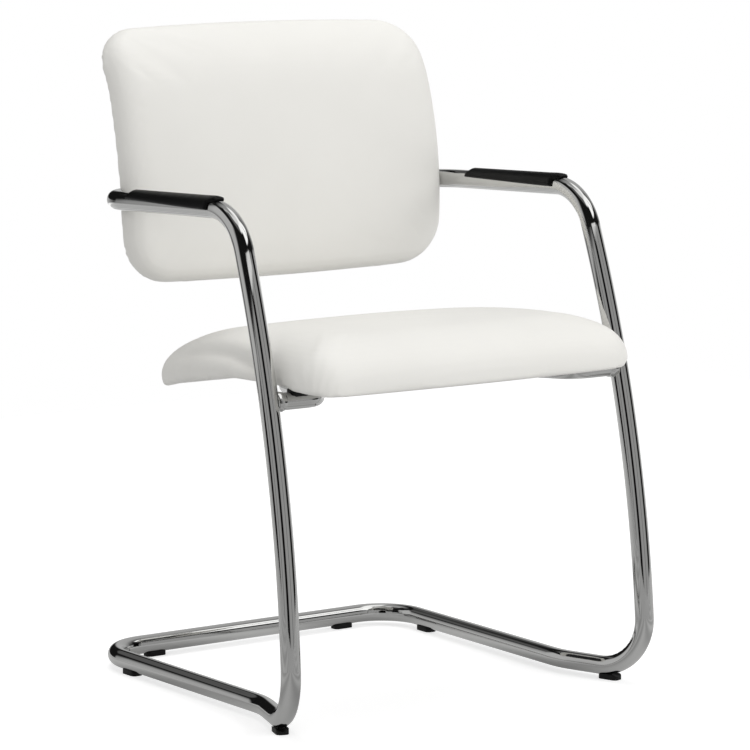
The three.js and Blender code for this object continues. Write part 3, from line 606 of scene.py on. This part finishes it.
def pad_object(name, pad, offset, crown, edge=None):
    """A closed pad of rows across it, as fine as PAD_STEPS says: corners, sides, columns."""
    corner_steps, side_steps, columns = PAD_STEPS
    if edge is None:
        edge = pad_edge(pad, offset, *EDGE_STEPS)
    shares = np.linspace(-1, 1, columns + 1)
    vertices, faces = [], []

    def grid(inset, level, dome):
        rows = []
        flat = pad_rows(pad, inset, corner_steps, side_steps)
        middle = (flat[0][1] + flat[-1][1]) / 2
        for half, s in flat:
            v = (s - middle) / (flat[0][1] - middle)
            rise = dome * (1 - v * v)
            x, along = bowed(pad, half * shares, np.full(columns + 1, s))
            points = pad["profile"].bend(x, along, level + rise * (1 - shares**2))
            rows.append(range(len(vertices), len(vertices) + columns + 1))
            vertices.extend(points)
        return rows

    def loop(rows):
        return [
            *rows[0][:-1],
            *[row[-1] for row in rows[:-1]],
            *reversed(rows[-1][1:]),
            *reversed([row[0] for row in rows[1:]]),
        ]

    def ring(inset, level):
        rows = pad_rows(pad, inset, corner_steps, side_steps)
        outline = [(rows[0][0] * c, rows[0][1]) for c in shares[:-1]]
        outline += [(half, s) for half, s in rows[:-1]]
        outline += [(rows[-1][0] * c, rows[-1][1]) for c in reversed(shares[1:])]
        outline += [(-half, s) for half, s in reversed(rows[1:])]
        flat = np.array(outline)
        x, along = bowed(pad, flat[:, 0], flat[:, 1])
        first = len(vertices)
        vertices.extend(pad["profile"].bend(x, along, np.full(len(flat), level)))
        return list(range(first, first + len(flat)))

    low = grid(edge[0][0], edge[0][1], 0)
    high = grid(edge[-1][0], edge[-1][1], crown)
    loops = [loop(low), *[ring(inset, level) for inset, level in edge[1:-1]], loop(high)]
    for a, b in zip(loops, loops[1:]):
        for i in range(len(a)):
            j = (i + 1) % len(a)
            faces.append((a[i], a[j], b[j], b[i]))
    for rows, flip in ((low, True), (high, False)):
        for a, b in zip(rows, rows[1:]):
            for c in range(columns):
                quad = (a[c], a[c + 1], b[c + 1], b[c])
                faces.append(tuple(reversed(quad)) if flip else quad)
    return mesh_object(name, vertices, faces)


def coordinates(obj):
    points = np.empty(len(obj.data.vertices) * 3)
    obj.data.vertices.foreach_get("co", points)
    return points.reshape(-1, 3)


def set_coordinates(obj, points):
    obj.data.vertices.foreach_set("co", points.ravel())
    obj.data.update()


def normals(obj):
    found = np.empty(len(obj.data.vertices) * 3)
    obj.data.vertices.foreach_get("normal", found)
    return found.reshape(-1, 3)


def inflate(obj, pad, cap):
    """Lets the stuffed cover swell as cloth, no further than the cap, with its hidden face held."""
    remesh = obj.modifiers.new("remesh", "REMESH")
    remesh.mode = "VOXEL"
    remesh.voxel_size = 5 * MM
    apply_modifiers(obj)
    before = coordinates(obj)
    flat = pad["profile"].flatten(before)
    held = obj.vertex_groups.new(name="held")
    for i in np.nonzero(flat[:, 2] < 5 * MM)[0]:
        held.add([int(i)], 1, "REPLACE")
    modifier = obj.modifiers.new("cloth", "CLOTH")
    settings = modifier.settings
    settings.quality = 6
    settings.mass = 0.25
    settings.tension_stiffness = 25
    settings.compression_stiffness = 25
    settings.shear_stiffness = 8
    settings.bending_stiffness = 0.6
    settings.use_pressure = True
    settings.uniform_pressure_force = 4
    settings.vertex_group_mass = "held"
    settings.effector_weights.gravity = 0
    modifier.collision_settings.use_self_collision = False
    modifier.collision_settings.use_collision = False
    for step in range(1, 21):
        SCENE.frame_set(step)
    apply_modifiers(obj)
    SCENE.frame_set(1)
    moved = coordinates(obj) - before
    length = np.linalg.norm(moved, axis=1, keepdims=True)
    limit = np.tanh(length / cap) * cap
    return before + moved * np.where(length > 0, limit / np.maximum(length, 1e-9), 0)


def smooth_step(value, low, high):
    t = np.clip((value - low) / (high - low), 0, 1)
    return t * t * (3 - 2 * t)


def bell(value, middle, width):
    return np.exp(-(((value - middle) / width) ** 2))


def clear_of_tube(points, gap):
    """Presses points out of the frame tube's rear bends, as the tube does to the foam."""
    stations = bent_path(frame_corners()[:3], BEND_DEGREES, BEND_STEP)
    for side in (1, -1):
        for point, tangent, *_ in stations[1:]:
            centre = np.array([point.x * side, point.y, point.z])
            axis = np.array([tangent.x * side, tangent.y, tangent.z])
            offset = points - centre
            along = offset @ axis
            radial = offset - along[:, None] * axis
            distance = np.linalg.norm(radial, axis=1)
            inside = (np.abs(along) < 6 * MM) & (distance < TUBE_R + gap)
            push = (TUBE_R + gap) / np.maximum(distance[inside], 1e-6)
            points[inside] += radial[inside] * (push - 1)[:, None]
    return points


CUSHION_SHRINK = 3 * MM
SWELL_CAP = 0.9 * MM
CREASE_DEPTH = 6.5 * MM
LIP_RISE = 1.6 * MM
ROLL_RISE = 1.8 * MM
CORNER_DRAW = 3.0 * MM
HEM_DROP = 3.6 * MM
SEAT_GATHER = 0.28 * MM
BACK_GATHER = 0.35 * MM
CREASE_ALONG = (150 * MM, 220 * MM, 290 * MM)
CREASE_HEIGHT = (20 * MM, 30 * MM, 34 * MM)
CREASE_WIDTH = 8 * MM
LIP_WIDTH = 6 * MM
ROLL_ABOVE = 15 * MM
CREASE_STARTS = (90 * MM, 170 * MM)
CREASE_ENDS = (12 * MM, 80 * MM)
HEM_STARTS = (200 * MM, 270 * MM)


def build_seat():
    shrink = CUSHION_SHRINK
    seat = pad_object("seat_cushion", SEAT, shrink, SEAT["crown"])
    points = inflate(seat, SEAT, SWELL_CAP)
    set_coordinates(seat, points)
    points = points + normals(seat) * shrink * 0.9
    set_coordinates(seat, points)
    flat = SEAT["profile"].flatten(points)
    out = normals(seat)
    x, s, n = flat.T
    edge = SEAT["start_half"] - np.abs(x)
    # A crease parts the upper roll from the lower skirt along both sides. It sinks towards the front.
    sides = smooth_step(np.abs(out[:, 0]), 0.2, 0.6)
    line = np.interp(s, CREASE_ALONG, CREASE_HEIGHT)
    fade = smooth_step(s, *CREASE_STARTS) * smooth_step(SEAT["length"] - s, *CREASE_ENDS)
    crease = bell(n, line, CREASE_WIDTH) * fade * sides
    lip = bell(n, line * 0.35, LIP_WIDTH) * fade * sides
    roll = bell(n, line + ROLL_ABOVE, CREASE_WIDTH) * fade * sides
    points = points + out * (LIP_RISE * lip + ROLL_RISE * roll - CREASE_DEPTH * crease)[:, None]
    # The rear corners draw in, and the hem behind the legs hangs a little below the shell.
    from_corner = np.hypot(SEAT["end_half"] - np.abs(x), SEAT["length"] - s)
    rear = bell(from_corner, 0, 18 * MM) * smooth_step(n, 20 * MM, 2 * MM)
    points[:, 0] -= np.sign(x) * CORNER_DRAW * rear
    hem = smooth_step(n, 22 * MM, 4 * MM) * smooth_step(edge, 60 * MM, 34 * MM)
    hem = hem * smooth_step(s, *HEM_STARTS)
    points[:, 2] -= HEM_DROP * hem * (1 - 0.6 * rear)
    # Gathers fan out from the front corners.
    corner = bell(np.hypot(edge - 10 * MM, s - 12 * MM), 0, 50 * MM)
    fan = np.sin(np.arctan2(s + 30 * MM, edge + 30 * MM) * 38)
    points = points + out * (SEAT_GATHER * corner * fan * smooth_step(n, 4 * MM, 20 * MM))[:, None]
    set_coordinates(seat, points)
    seat.modifiers.new("subdivision", "SUBSURF").levels = 1
    apply_modifiers(seat)
    finish_piece(seat, "leatherette", ["seat_cover", "seat_foam"], 80)


def build_back():
    shrink = CUSHION_SHRINK
    back = pad_object("back_cushion", BACK, shrink, BACK["crown"])
    points = inflate(back, BACK, SWELL_CAP)
    set_coordinates(back, points)
    points = points + normals(back) * shrink * 0.9
    points = clear_of_tube(points, 1.0 * MM)
    set_coordinates(back, points)
    flat = BACK["profile"].flatten(points)
    out = normals(back)
    x, s, n = flat.T
    edge = BACK["end_half"] - np.abs(x)
    top = BACK["length"] - s
    corner = bell(np.hypot(edge, top), 0, 45 * MM)
    fan = np.sin(np.arctan2(top + 20 * MM, edge + 20 * MM) * 50)
    points = points + out * (BACK_GATHER * corner * fan)[:, None]
    set_coordinates(back, points)
    back.modifiers.new("subdivision", "SUBSURF").levels = 1
    apply_modifiers(back)
    finish_piece(back, "leatherette", ["back_cover", "back_foam"], 80)


def sheet_edge(inset, low, high, rounding):
    return [
        (inset + rounding, low),
        (inset, low + rounding),
        (inset, high - rounding * 0.5),
        (inset + rounding, high),
    ]


def build_linings():
    lining = pad_object("seat_lining_cloth", SEAT, 0, 0, sheet_edge(66 * MM, -1.4 * MM, 0.4 * MM, 0.5 * MM))
    points = coordinates(lining)
    x, s, n = SEAT["profile"].flatten(points).T
    pull = np.sin(s * 2 * math.pi / (36 * MM)) * smooth_step(np.abs(x), 120 * MM, 225 * MM)
    pull += np.sin(x * 2 * math.pi / (36 * MM)) * smooth_step(np.abs(s - 216 * MM), 110 * MM, 190 * MM)
    points[:, 2] += 0.35 * MM * pull * (n < 0)
    set_coordinates(lining, points)
    finish_piece(lining, "lining", ["seat_lining"])
    panel = pad_object("back_rear_cover", BACK, 0, 0, sheet_edge(27 * MM, -1.8 * MM, 0.4 * MM, 0.7 * MM))
    finish_piece(panel, "leatherette", ["back_rear_panel"])


# Arm pads


def arm_frame(side):
    """Origin at the pad's rear end on the arm's axis, X across, Y towards the front, Z up."""
    tilt = math.atan2(ARM_FRONT_Z - CROSS_Z, ARM_FRONT_DEPTH - CROSS_DEPTH)
    z = CROSS_Z + (PAD_REAR_DEPTH - CROSS_DEPTH) * math.tan(tilt)
    forward = Vector((0, -math.cos(tilt), math.sin(tilt)))
    across = Vector((side, 0, 0))
    up = Vector((0, math.sin(tilt), math.cos(tilt)))
    basis = Matrix((across, forward, up)).transposed().to_4x4()
    return Matrix.Translation(place(side * ARM_X, PAD_REAR_DEPTH, z)) @ basis, tilt


def arm_point(distance, angle, radius, tilt):
    """A point round the arm at a distance from the pad's rear end, following the front bend."""
    corner = (ARM_FRONT_DEPTH - PAD_REAR_DEPTH) / math.cos(tilt)
    turn_all = math.radians(90) + tilt - math.atan2(KNEE.y - ARM_FRONT_DEPTH, ARM_FRONT_Z - KNEE.z)
    bend_start = corner - ARM_R * math.tan(turn_all / 2)
    centre = Vector((0, min(distance, bend_start), 0))
    turn = max(0, distance - bend_start) / ARM_R
    y = centre.y + ARM_R * math.sin(turn)
    z = -ARM_R * (1 - math.cos(turn))
    up = Vector((0, math.sin(turn), math.cos(turn)))
    return Vector((0, y, z)) + Vector((radius * math.cos(angle), 0, 0)) + up * radius * math.sin(angle)


def build_arm_pad(side, name):
    matrix, tilt = arm_frame(side)
    inner = TUBE_R + 0.3 * MM
    along, around = 72, 32
    corner_end = PAD_LENGTH - PAD_FRONT_TRIM

    def lower_angle(y):
        share = y / PAD_LENGTH
        height = 7 * MM * (1 - share) ** 1.3 - 1.0 * MM
        return math.asin(height / (inner + PAD_T))

    outer_grid, inner_grid = [], []
    for i in range(along + 1):
        u = i / along
        outer_row, inner_row = [], []
        for j in range(around + 1):
            v = j / around
            low = lower_angle(u * PAD_LENGTH)
            angle = low + (math.pi - 2 * low) * v
            crest = max(0, math.sin(angle))
            start = 2 * MM + 5 * MM * smooth_step(crest, 0.45, 1.0)
            end = corner_end + PAD_FRONT_TRIM * smooth_step(crest, 0.6, 0.92)
            y = start + (end - start) * u
            from_end = min(y - start, end - y)
            from_side = min(v, 1 - v) * (math.pi - 2 * low) * inner
            t = min(1, max(0, min(from_end, from_side)) / PAD_ROUNDING)
            thick = PAD_T * (0.34 + 0.66 * math.sqrt(1 - (1 - t) ** 2))
            hood = 0.3 * MM * smooth_step(y, PAD_LENGTH - 34 * MM, PAD_LENGTH - 8 * MM) * crest
            outer_row.append(matrix @ arm_point(y, angle, inner + thick + hood, tilt))
            inner_row.append(matrix @ arm_point(y, angle, inner, tilt))
        outer_grid.append(outer_row)
        inner_grid.append(inner_row)
    width = around + 1
    vertices = [p for row in outer_grid for p in row] + [p for row in inner_grid for p in row]
    shift = (along + 1) * width
    faces = []
    for i in range(along):
        for j in range(around):
            a = i * width + j
            faces.append((a, a + 1, a + width + 1, a + width))
            faces.append((shift + a, shift + a + width, shift + a + width + 1, shift + a + 1))
    border = list(range(around))
    border += [i * width + around for i in range(along)]
    border += [along * width + j for j in range(around, 0, -1)]
    border += [i * width for i in range(along, 0, -1)]
    for a, b in zip(border, border[1:] + border[:1]):
        faces.append((a, b, b + shift, a + shift))
    pad = mesh_object(f"arm_pad_moulding_{name}", vertices, faces)
    finish_piece(pad, "pad", [f"arm_pad_{name}"], 50)


# Glides


def build_glides():
    for name in ("front_right", "front_left", "side_right", "side_left", "rear_right", "rear_left"):
        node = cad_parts[f"glide_{name}"]
        glide = bpy.data.objects.new(f"glide_moulding_{name}", node.data.copy())
        SCENE.collection.objects.link(glide)
        clean(glide)
        add_bevel(glide, 0.7 * MM, 3)
        finish_piece(glide, "black", [f"glide_{name}"], 50)


def clean(obj):
    """Joins the imported mesh's doubled points and melts its flat triangles into whole faces."""
    bm = bmesh.new()
    bm.from_mesh(obj.data)
    bmesh.ops.remove_doubles(bm, verts=bm.verts, dist=0.01 * MM)
    bmesh.ops.dissolve_limit(bm, angle_limit=math.radians(2), verts=bm.verts, edges=bm.edges)
    bm.to_mesh(obj.data)
    bm.free()


# Fixings


def build_from_node(node_name, piece_name, material, bevel):
    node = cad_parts[node_name]
    piece = bpy.data.objects.new(piece_name, node.data.copy())
    SCENE.collection.objects.link(piece)
    clean(piece)
    add_bevel(piece, bevel, 2)
    finish_piece(piece, material, [node_name])


def build_fixings():
    for side in ("right", "left"):
        build_from_node(f"back_bracket_{side}", f"bracket_plate_{side}", "chrome", 0.6 * MM)
    for group, places in (
        ("seat", ("front_right", "front_left", "rear_right", "rear_left")),
        ("back", ("upper_right", "lower_right", "upper_left", "lower_left")),
    ):
        for place_name in places:
            spacer = f"{group}_spacer_{place_name}"
            moulding = f"{group}_spacer_moulding_{place_name}"
            build_from_node(spacer, moulding, "black", 0.5 * MM)
            screw = f"{group}_screw_{place_name}"
            build_from_node(screw, f"{group}_bolt_{place_name}", "zinc", 0.3 * MM)


def dress_hidden_nodes():
    for name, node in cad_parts.items():
        if "tee_nut" in name or "sleeve" in name:
            kind = "zinc"
        elif "shell" in name:
            kind = "plywood"
        elif "foam" in name:
            kind = "foam"
        else:
            continue
        node.data.materials.clear()
        node.data.materials.append(MATERIALS[kind])


# Stage


def area_lamp(name, location, target, size, power):
    data = bpy.data.lights.new(name, "AREA")
    data.shape = "RECTANGLE"
    data.size = size
    data.size_y = size
    data.energy = power
    obj = bpy.data.objects.new(name, data)
    SCENE.collection.objects.link(obj)
    obj.location = location
    obj.rotation_mode = "QUATERNION"
    obj.rotation_quaternion = (Vector(target) - Vector(location)).to_track_quat("-Z", "Y")
    obj.visible_glossy = False


FLOOR_HALF = 2.2
FLOOR_GLOW = 0.60
FLOOR_REACH = (0.6, -1.2)
# Glow of the floor for glossy rays only: a painted reflection in the chrome.
REFLECTED_FLOOR_GLOW = (0.20, 0.50)
# Soft bands in that glow: painted reflection stripes in the chrome.
REFLECTION_BAND_SCALE = 1.3
REFLECTION_BAND_RANGE = (0.6, 1.25)


def build_floor():
    """A pale floor: white to the eye but for the chair's faint shadow, grey to the chrome above it, where a
    darker copy glows for glossy rays only: a painted reflection.
    """
    half = FLOOR_HALF
    corners = [(-half, -half, 0), (half, -half, 0), (half, half, 0), (-half, half, 0)]
    floor = mesh_object("floor", corners, [(0, 1, 2, 3)])
    material, nodes, links, shader = new_material("pale_floor")
    shader.inputs["Base Color"].default_value = (0.62, 0.62, 0.62, 1)
    shader.inputs["Roughness"].default_value = 0.7
    shader.inputs["Specular IOR Level"].default_value = 0.1
    shader.inputs["Emission Color"].default_value = (1, 1, 1, 1)
    path = nodes.new("ShaderNodeLightPath")
    seen = nodes.new("ShaderNodeMath")
    seen.operation = "MULTIPLY"
    seen.inputs[1].default_value = FLOOR_GLOW
    links.new(path.outputs["Is Camera Ray"], seen.inputs[0])
    links.new(seen.outputs[0], shader.inputs["Emission Strength"])
    # Painted reflection: glossy rays meet a darker copy of the floor that glows, paler behind the chair
    # than in front of it.
    coordinate = nodes.new("ShaderNodeTexCoord")
    split = turned_split(nodes, links, coordinate.outputs["Object"])
    behind = nodes.new("ShaderNodeMapRange")
    behind.inputs["From Min"].default_value, behind.inputs["From Max"].default_value = FLOOR_REACH
    behind.inputs["To Min"].default_value, behind.inputs["To Max"].default_value = REFLECTED_FLOOR_GLOW
    links.new(split.outputs["X"], behind.inputs["Value"])
    mirrored = nodes.new("ShaderNodeBsdfPrincipled")
    mirrored.inputs["Base Color"].default_value = (0.24, 0.24, 0.24, 1)
    mirrored.inputs["Roughness"].default_value = 0.8
    mirrored.inputs["Specular IOR Level"].default_value = 0
    mirrored.inputs["Emission Color"].default_value = (1, 1, 1, 1)
    # Painted reflection: soft bands across the floor's glow for glossy rays, which show as stripes in the
    # chrome.
    bands = nodes.new("ShaderNodeTexWave")
    bands.bands_direction = "Y"
    bands.inputs["Scale"].default_value = REFLECTION_BAND_SCALE
    bands.inputs["Distortion"].default_value = 1.5
    bands.inputs["Detail"].default_value = 1
    links.new(split.inputs["Vector"].links[0].from_socket, bands.inputs["Vector"])
    reflection_banded = nodes.new("ShaderNodeMapRange")
    reflection_banded.inputs["To Min"].default_value, reflection_banded.inputs["To Max"].default_value = REFLECTION_BAND_RANGE
    links.new(bands.outputs["Fac"], reflection_banded.inputs["Value"])
    glow = nodes.new("ShaderNodeMath")
    glow.operation = "MULTIPLY"
    links.new(behind.outputs["Result"], glow.inputs[0])
    links.new(reflection_banded.outputs["Result"], glow.inputs[1])
    links.new(glow.outputs[0], mirrored.inputs["Emission Strength"])
    mix = nodes.new("ShaderNodeMixShader")
    links.new(path.outputs["Is Glossy Ray"], mix.inputs["Fac"])
    links.new(shader.outputs["BSDF"], mix.inputs[1])
    links.new(mirrored.outputs["BSDF"], mix.inputs[2])
    links.new(mix.outputs["Shader"], nodes["Material Output"].inputs["Surface"])
    floor.data.materials.append(material)


def background(nodes, strength, colour=None, links=None):
    node = nodes.new("ShaderNodeBackground")
    node.inputs["Color"].default_value = (1, 1, 1, 1)
    node.inputs["Strength"].default_value = strength
    if colour is not None:
        links.new(colour, node.inputs["Color"])
    return node.outputs["Background"]


def turned_split(nodes, links, vector):
    """Splits a level direction into X, towards the camera, and Y, towards the picture's right."""
    turned = nodes.new("ShaderNodeMapping")
    turned.inputs["Rotation"].default_value = (0, 0, math.radians(VIEW_TURN))
    links.new(vector, turned.inputs["Vector"])
    split = nodes.new("ShaderNodeSeparateXYZ")
    links.new(turned.outputs["Vector"], split.inputs["Vector"])
    return split


def blend(nodes, links, factor, first, second):
    mix = nodes.new("ShaderNodeMix")
    mix.data_type = "RGBA"
    links.new(factor, mix.inputs["Factor"])
    links.new(first, mix.inputs["A"])
    links.new(second, mix.inputs["B"])
    return mix.outputs["Result"]


def grey(nodes, level):
    node = nodes.new("ShaderNodeRGB")
    node.outputs[0].default_value = (level, level, level, 1)
    return node.outputs[0]


def calculate(nodes, links, operation, value, *constants):
    node = nodes.new("ShaderNodeMath")
    node.operation = operation
    links.new(value, node.inputs[0])
    for index, constant in enumerate(constants, 1):
        node.inputs[index].default_value = constant
    return node.outputs[0]


def smooth_range(nodes, links, value, off, on):
    """0 at off and 1 at on, with a smooth step between them."""
    node = nodes.new("ShaderNodeMapRange")
    node.interpolation_type = "SMOOTHSTEP"
    node.inputs["From Min"].default_value = off
    node.inputs["From Max"].default_value = on
    links.new(value, node.inputs["Value"])
    return node.outputs["Result"]


# Studio panels as the chrome sees them. Turns, half widths and soft edges are in degrees, and turns count
# from the camera towards the picture's left.
Panel = namedtuple("Panel", "turn half_width soft brightness")
WALL_GREY = 0.4
DARK_ROOM = 0.01
REAR_WALL = Panel(180, 45, 20, 1.2)
LEFT_FLAG = Panel(75, 12, 5, 0.0)
CAMERA_FLAG = Panel(0, 12, 5, 0.0)
RIGHT_FLAG = Panel(-95, 14, 6, 0.0)
LEFT_WALL_SEAM = Panel(40, 2, 2, 0.1)
RIGHT_WALL_SEAM = Panel(-45, 2, 2, 0.1)
LEFT_FILL = Panel(90, 25, 10, 0.6)
REAR_BOUNCE = Panel(180, 45, 25, 0.5)
RIGHT_SOFTBOX = Panel(-85, 35, 6, 1.5)
SOFTBOX_SEAM = Panel(-95, 2, 1, 0.05)
LEFT_OVERHEAD = Panel(145, 40, 15, 0.9)
RIGHT_OVERHEAD = Panel(-105, 85, 12, 1.4)
SIDE_STRIP = Panel(-30, 28, 6, 0.95)
DARK_CORNER = Panel(145, 28, 4, 0.01)
ROOF_WHITE = 0.95
OVERHEAD_GREY = 0.15
SHELF_LIGHT = 0.12
WALL_LEAN = (-0.30, -0.25, 1)
WALL_TOP = (0.16, 0.19)
MIDDLE_TOP = (0.60, 0.66)
HIGH_TOP = (0.84, 0.90)
ROOF_FROM = (0.95, 0.98)
STRIP_BAND = (0.185, 0.025, 0.01)
SHELF_BAND = (0.55, 0.05, 0.03)
CORNER_CEILING = (0.7, 0.9)
CORNER_FOOT = (0.0, 0.02)
ROOM_LIGHT = 0.6
BACKDROP_LIGHT = 1


def panel_mask(nodes, links, turn, panel):
    away = calculate(nodes, links, "SUBTRACT", turn, panel.turn / 360)
    away = calculate(nodes, links, "WRAP", away, 0.5, -0.5)
    away = calculate(nodes, links, "ABSOLUTE", away)
    outside = (panel.half_width + panel.soft) / 360
    inside = (panel.half_width - panel.soft) / 360
    return smooth_range(nodes, links, away, outside, inside)


def panel_row(nodes, links, turn, base, panels):
    colour = grey(nodes, base)
    for panel in panels:
        mask = panel_mask(nodes, links, turn, panel)
        colour = blend(nodes, links, mask, colour, grey(nodes, panel.brightness))
    return colour


def height_band(nodes, links, height, middle, half, soft):
    away = calculate(nodes, links, "SUBTRACT", height, middle)
    away = calculate(nodes, links, "ABSOLUTE", away)
    return smooth_range(nodes, links, away, half + soft, half - soft)


def both(nodes, links, first, second):
    node = nodes.new("ShaderNodeMath")
    node.operation = "MULTIPLY"
    links.new(first, node.inputs[0])
    links.new(second, node.inputs[1])
    return node.outputs[0]


def studio_reflection(nodes, links):
    """What the chrome sees: grey walls with black flags, a dark row above them and softboxes overhead."""
    coordinate = nodes.new("ShaderNodeTexCoord")
    split = turned_split(nodes, links, coordinate.outputs["Generated"])
    azimuth = nodes.new("ShaderNodeMath")
    azimuth.operation = "ARCTAN2"
    links.new(split.outputs["Y"], azimuth.inputs[0])
    links.new(split.outputs["X"], azimuth.inputs[1])
    turn = calculate(nodes, links, "MULTIPLY", azimuth.outputs[0], -1 / (2 * math.pi))
    height = split.outputs["Z"]
    # The walls' top edge rises towards the camera and towards the picture's right.
    joined = nodes.new("ShaderNodeCombineXYZ")
    for axis in "XYZ":
        links.new(split.outputs[axis], joined.inputs[axis])
    lean = nodes.new("ShaderNodeVectorMath")
    lean.operation = "DOT_PRODUCT"
    lean.inputs[1].default_value = WALL_LEAN
    links.new(joined.outputs["Vector"], lean.inputs[0])
    lean = lean.outputs["Value"]
    flags = [LEFT_FLAG, CAMERA_FLAG, RIGHT_FLAG, LEFT_WALL_SEAM, RIGHT_WALL_SEAM]
    walls = panel_row(nodes, links, turn, WALL_GREY, [REAR_WALL, *flags])
    middle = panel_row(nodes, links, turn, DARK_ROOM, [REAR_BOUNCE, LEFT_FILL])
    high = panel_row(nodes, links, turn, DARK_ROOM, [REAR_BOUNCE, RIGHT_SOFTBOX, SOFTBOX_SEAM])
    top = panel_row(nodes, links, turn, OVERHEAD_GREY, [LEFT_OVERHEAD, RIGHT_OVERHEAD])
    colour = walls
    for value, limits, above in (
        (lean, WALL_TOP, middle),
        (height, MIDDLE_TOP, high),
        (height, HIGH_TOP, top),
        (height, ROOF_FROM, grey(nodes, ROOF_WHITE)),
    ):
        colour = blend(nodes, links, smooth_range(nodes, links, value, *limits), colour, above)
    strip_side = panel_mask(nodes, links, turn, SIDE_STRIP)
    strip = both(nodes, links, strip_side, height_band(nodes, links, lean, *STRIP_BAND))
    colour = blend(nodes, links, strip, colour, grey(nodes, SIDE_STRIP.brightness))
    # Behind the chair, at the picture's left, the room is dark with one faint shelf and a grey ceiling.
    shelf = height_band(nodes, links, height, *SHELF_BAND)
    corner = blend(nodes, links, shelf, grey(nodes, DARK_CORNER.brightness), grey(nodes, SHELF_LIGHT))
    ceiling = smooth_range(nodes, links, height, *CORNER_CEILING)
    corner = blend(nodes, links, ceiling, corner, grey(nodes, WALL_GREY))
    above_floor = smooth_range(nodes, links, height, *CORNER_FOOT)
    corner_mask = both(nodes, links, panel_mask(nodes, links, turn, DARK_CORNER), above_floor)
    colour = blend(nodes, links, corner_mask, colour, corner)
    return background(nodes, 1, colour, links)


def build_world():
    world = bpy.data.worlds.new("studio")
    world.use_nodes = True
    SCENE.world = world
    nodes, links = world.node_tree.nodes, world.node_tree.links
    nodes.clear()
    output = nodes.new("ShaderNodeOutputWorld")
    path = nodes.new("ShaderNodeLightPath")
    glossy = nodes.new("ShaderNodeMixShader")
    links.new(path.outputs["Is Glossy Ray"], glossy.inputs["Fac"])
    links.new(background(nodes, ROOM_LIGHT), glossy.inputs[1])
    links.new(studio_reflection(nodes, links), glossy.inputs[2])
    seen = nodes.new("ShaderNodeMixShader")
    links.new(path.outputs["Is Camera Ray"], seen.inputs["Fac"])
    links.new(glossy.outputs["Shader"], seen.inputs[1])
    links.new(background(nodes, BACKDROP_LIGHT), seen.inputs[2])
    links.new(seen.outputs["Shader"], output.inputs["Surface"])


def build_lights():
    centre = (0, 0, 0.55)
    area_lamp("top_softbox", (0.2, 0.8, 3.2), (0, -0.1, 0.3), 2.2, 36)
    area_lamp("key_softbox", (2.0, -3.4, 2.4), centre, 2.0, 50)
    area_lamp("left_softbox", (-3.2, -2.0, 1.6), centre, 1.8, 12)
    area_lamp("low_softbox", (1.3, -2.8, 0.35), (0, 0, 0.6), 1.2, 12)


add_camera()
build_frame()
build_carrier()
build_seat()
build_back()
build_linings()
build_arm_pad(1, "right")
build_arm_pad(-1, "left")
build_glides()
build_fixings()
dress_hidden_nodes()
build_floor()
build_world()
build_lights()
